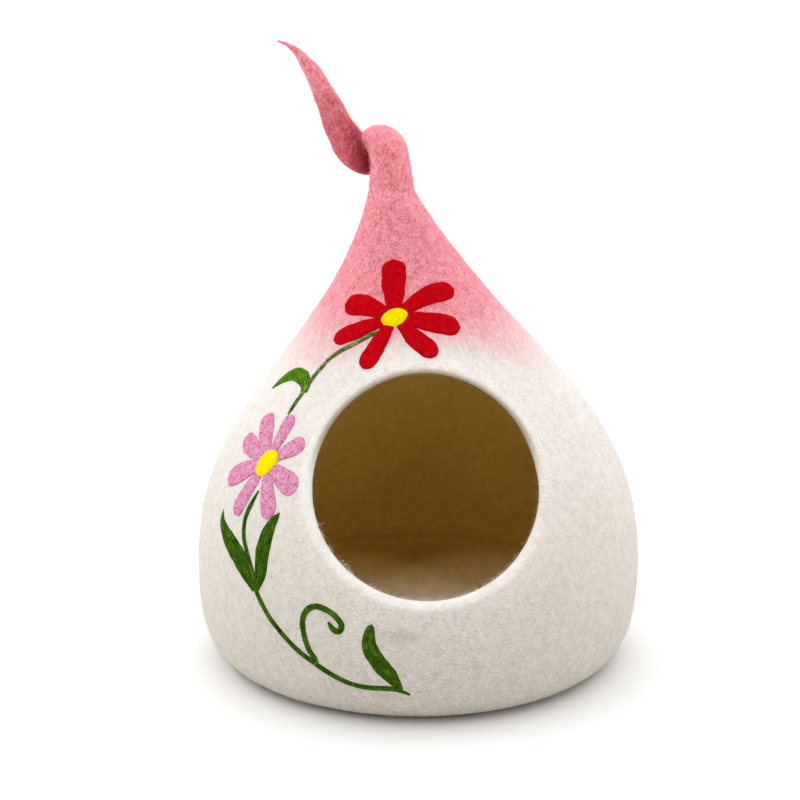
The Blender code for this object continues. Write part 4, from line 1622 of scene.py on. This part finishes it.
# %% Floor
floor_mesh = bmesh.new()
bmesh.ops.create_grid(floor_mesh, x_segments=2, y_segments=2, size=30.0)
floor = mesh_object("floor", floor_mesh)
floor_paint = bpy.data.materials.new("floor_paint")
floor_paint.use_nodes = True
floor_shader = floor_paint.node_tree.nodes["Principled BSDF"]
floor_shader.inputs["Base Color"].default_value = (0.94, 0.94, 0.94, 1)
floor_shader.inputs["Roughness"].default_value = 1.0
floor_shader.inputs["Specular IOR Level"].default_value = 0.0
floor.data.materials.append(floor_paint)

# %% Light
scene = bpy.context.scene
world = bpy.data.worlds.new("studio")
scene.world = world
world.use_nodes = True
background = world.node_tree.nodes["Background"]
background.inputs["Color"].default_value = (1, 1, 1, 1)
background.inputs["Strength"].default_value = 0.30
SOFTBOXES = {
    "overhead": {"towards": (0.06, -0.28, -1.0), "angle": 100, "strength": 3.0},
    "left": {"towards": (1.0, -0.15, -0.36), "angle": 70, "strength": 0.66},
    "right": {"towards": (-1.0, -0.15, -0.36), "angle": 70, "strength": 0.66},
}
for name, box in SOFTBOXES.items():
    data = bpy.data.lights.new(name, "SUN")
    data.angle = math.radians(box["angle"])
    data.energy = box["strength"]
    lamp = bpy.data.objects.new(name, data)
    lamp.rotation_euler = Vector(box["towards"]).to_track_quat("-Z", "Y").to_euler()
    scene.collection.objects.link(lamp)

# %% Narrow lamps into the entrance
SPOTS = {
    "left_floor_spot": {"rise": 46, "side": -12, "power": 31.0},
    "right_floor_spot": {"rise": 46, "side": 12, "power": 31.0},
    "left_wall_spot": {"rise": 4, "side": -15, "power": 5.2},
    "right_wall_spot": {"rise": 4, "side": 15, "power": 7.0},
}
SPOT_DISTANCE = 1.3
SPOT_ANGLE = math.radians(8.5)
SPOT_RADIUS = 0.06
for name, spot in SPOTS.items():
    rise = math.radians(spot["rise"])
    towards_spot = around(spot["side"]) * math.cos(rise) + Vector((0, 0, math.sin(rise)))
    data = bpy.data.lights.new(name, "SPOT")
    data.energy = spot["power"]
    data.spot_size = SPOT_ANGLE
    data.spot_blend = 1.0
    data.shadow_soft_size = SPOT_RADIUS
    lamp = bpy.data.objects.new(name, data)
    lamp.location = ENTRANCE_MIDDLE + towards_spot * SPOT_DISTANCE
    lamp.rotation_euler = (-towards_spot).to_track_quat("-Z", "Y").to_euler()
    scene.collection.objects.link(lamp)

# %% Camera
CAMERA_PLACE = Vector((-0.1003, -2.3980, 0.970))
CAMERA_LOOK = Vector((0.0334, 0.9568, -0.2889))
camera_data = bpy.data.cameras.new("camera")
camera_data.lens = 119.9
camera_data.sensor_width = 36.0
camera_data.clip_end = 100.0
camera = bpy.data.objects.new("camera", camera_data)
camera.location = CAMERA_PLACE
camera.rotation_euler = CAMERA_LOOK.to_track_quat("-Z", "Y").to_euler()
scene.collection.objects.link(camera)
scene.camera = camera
scene.view_settings.view_transform = "Standard"
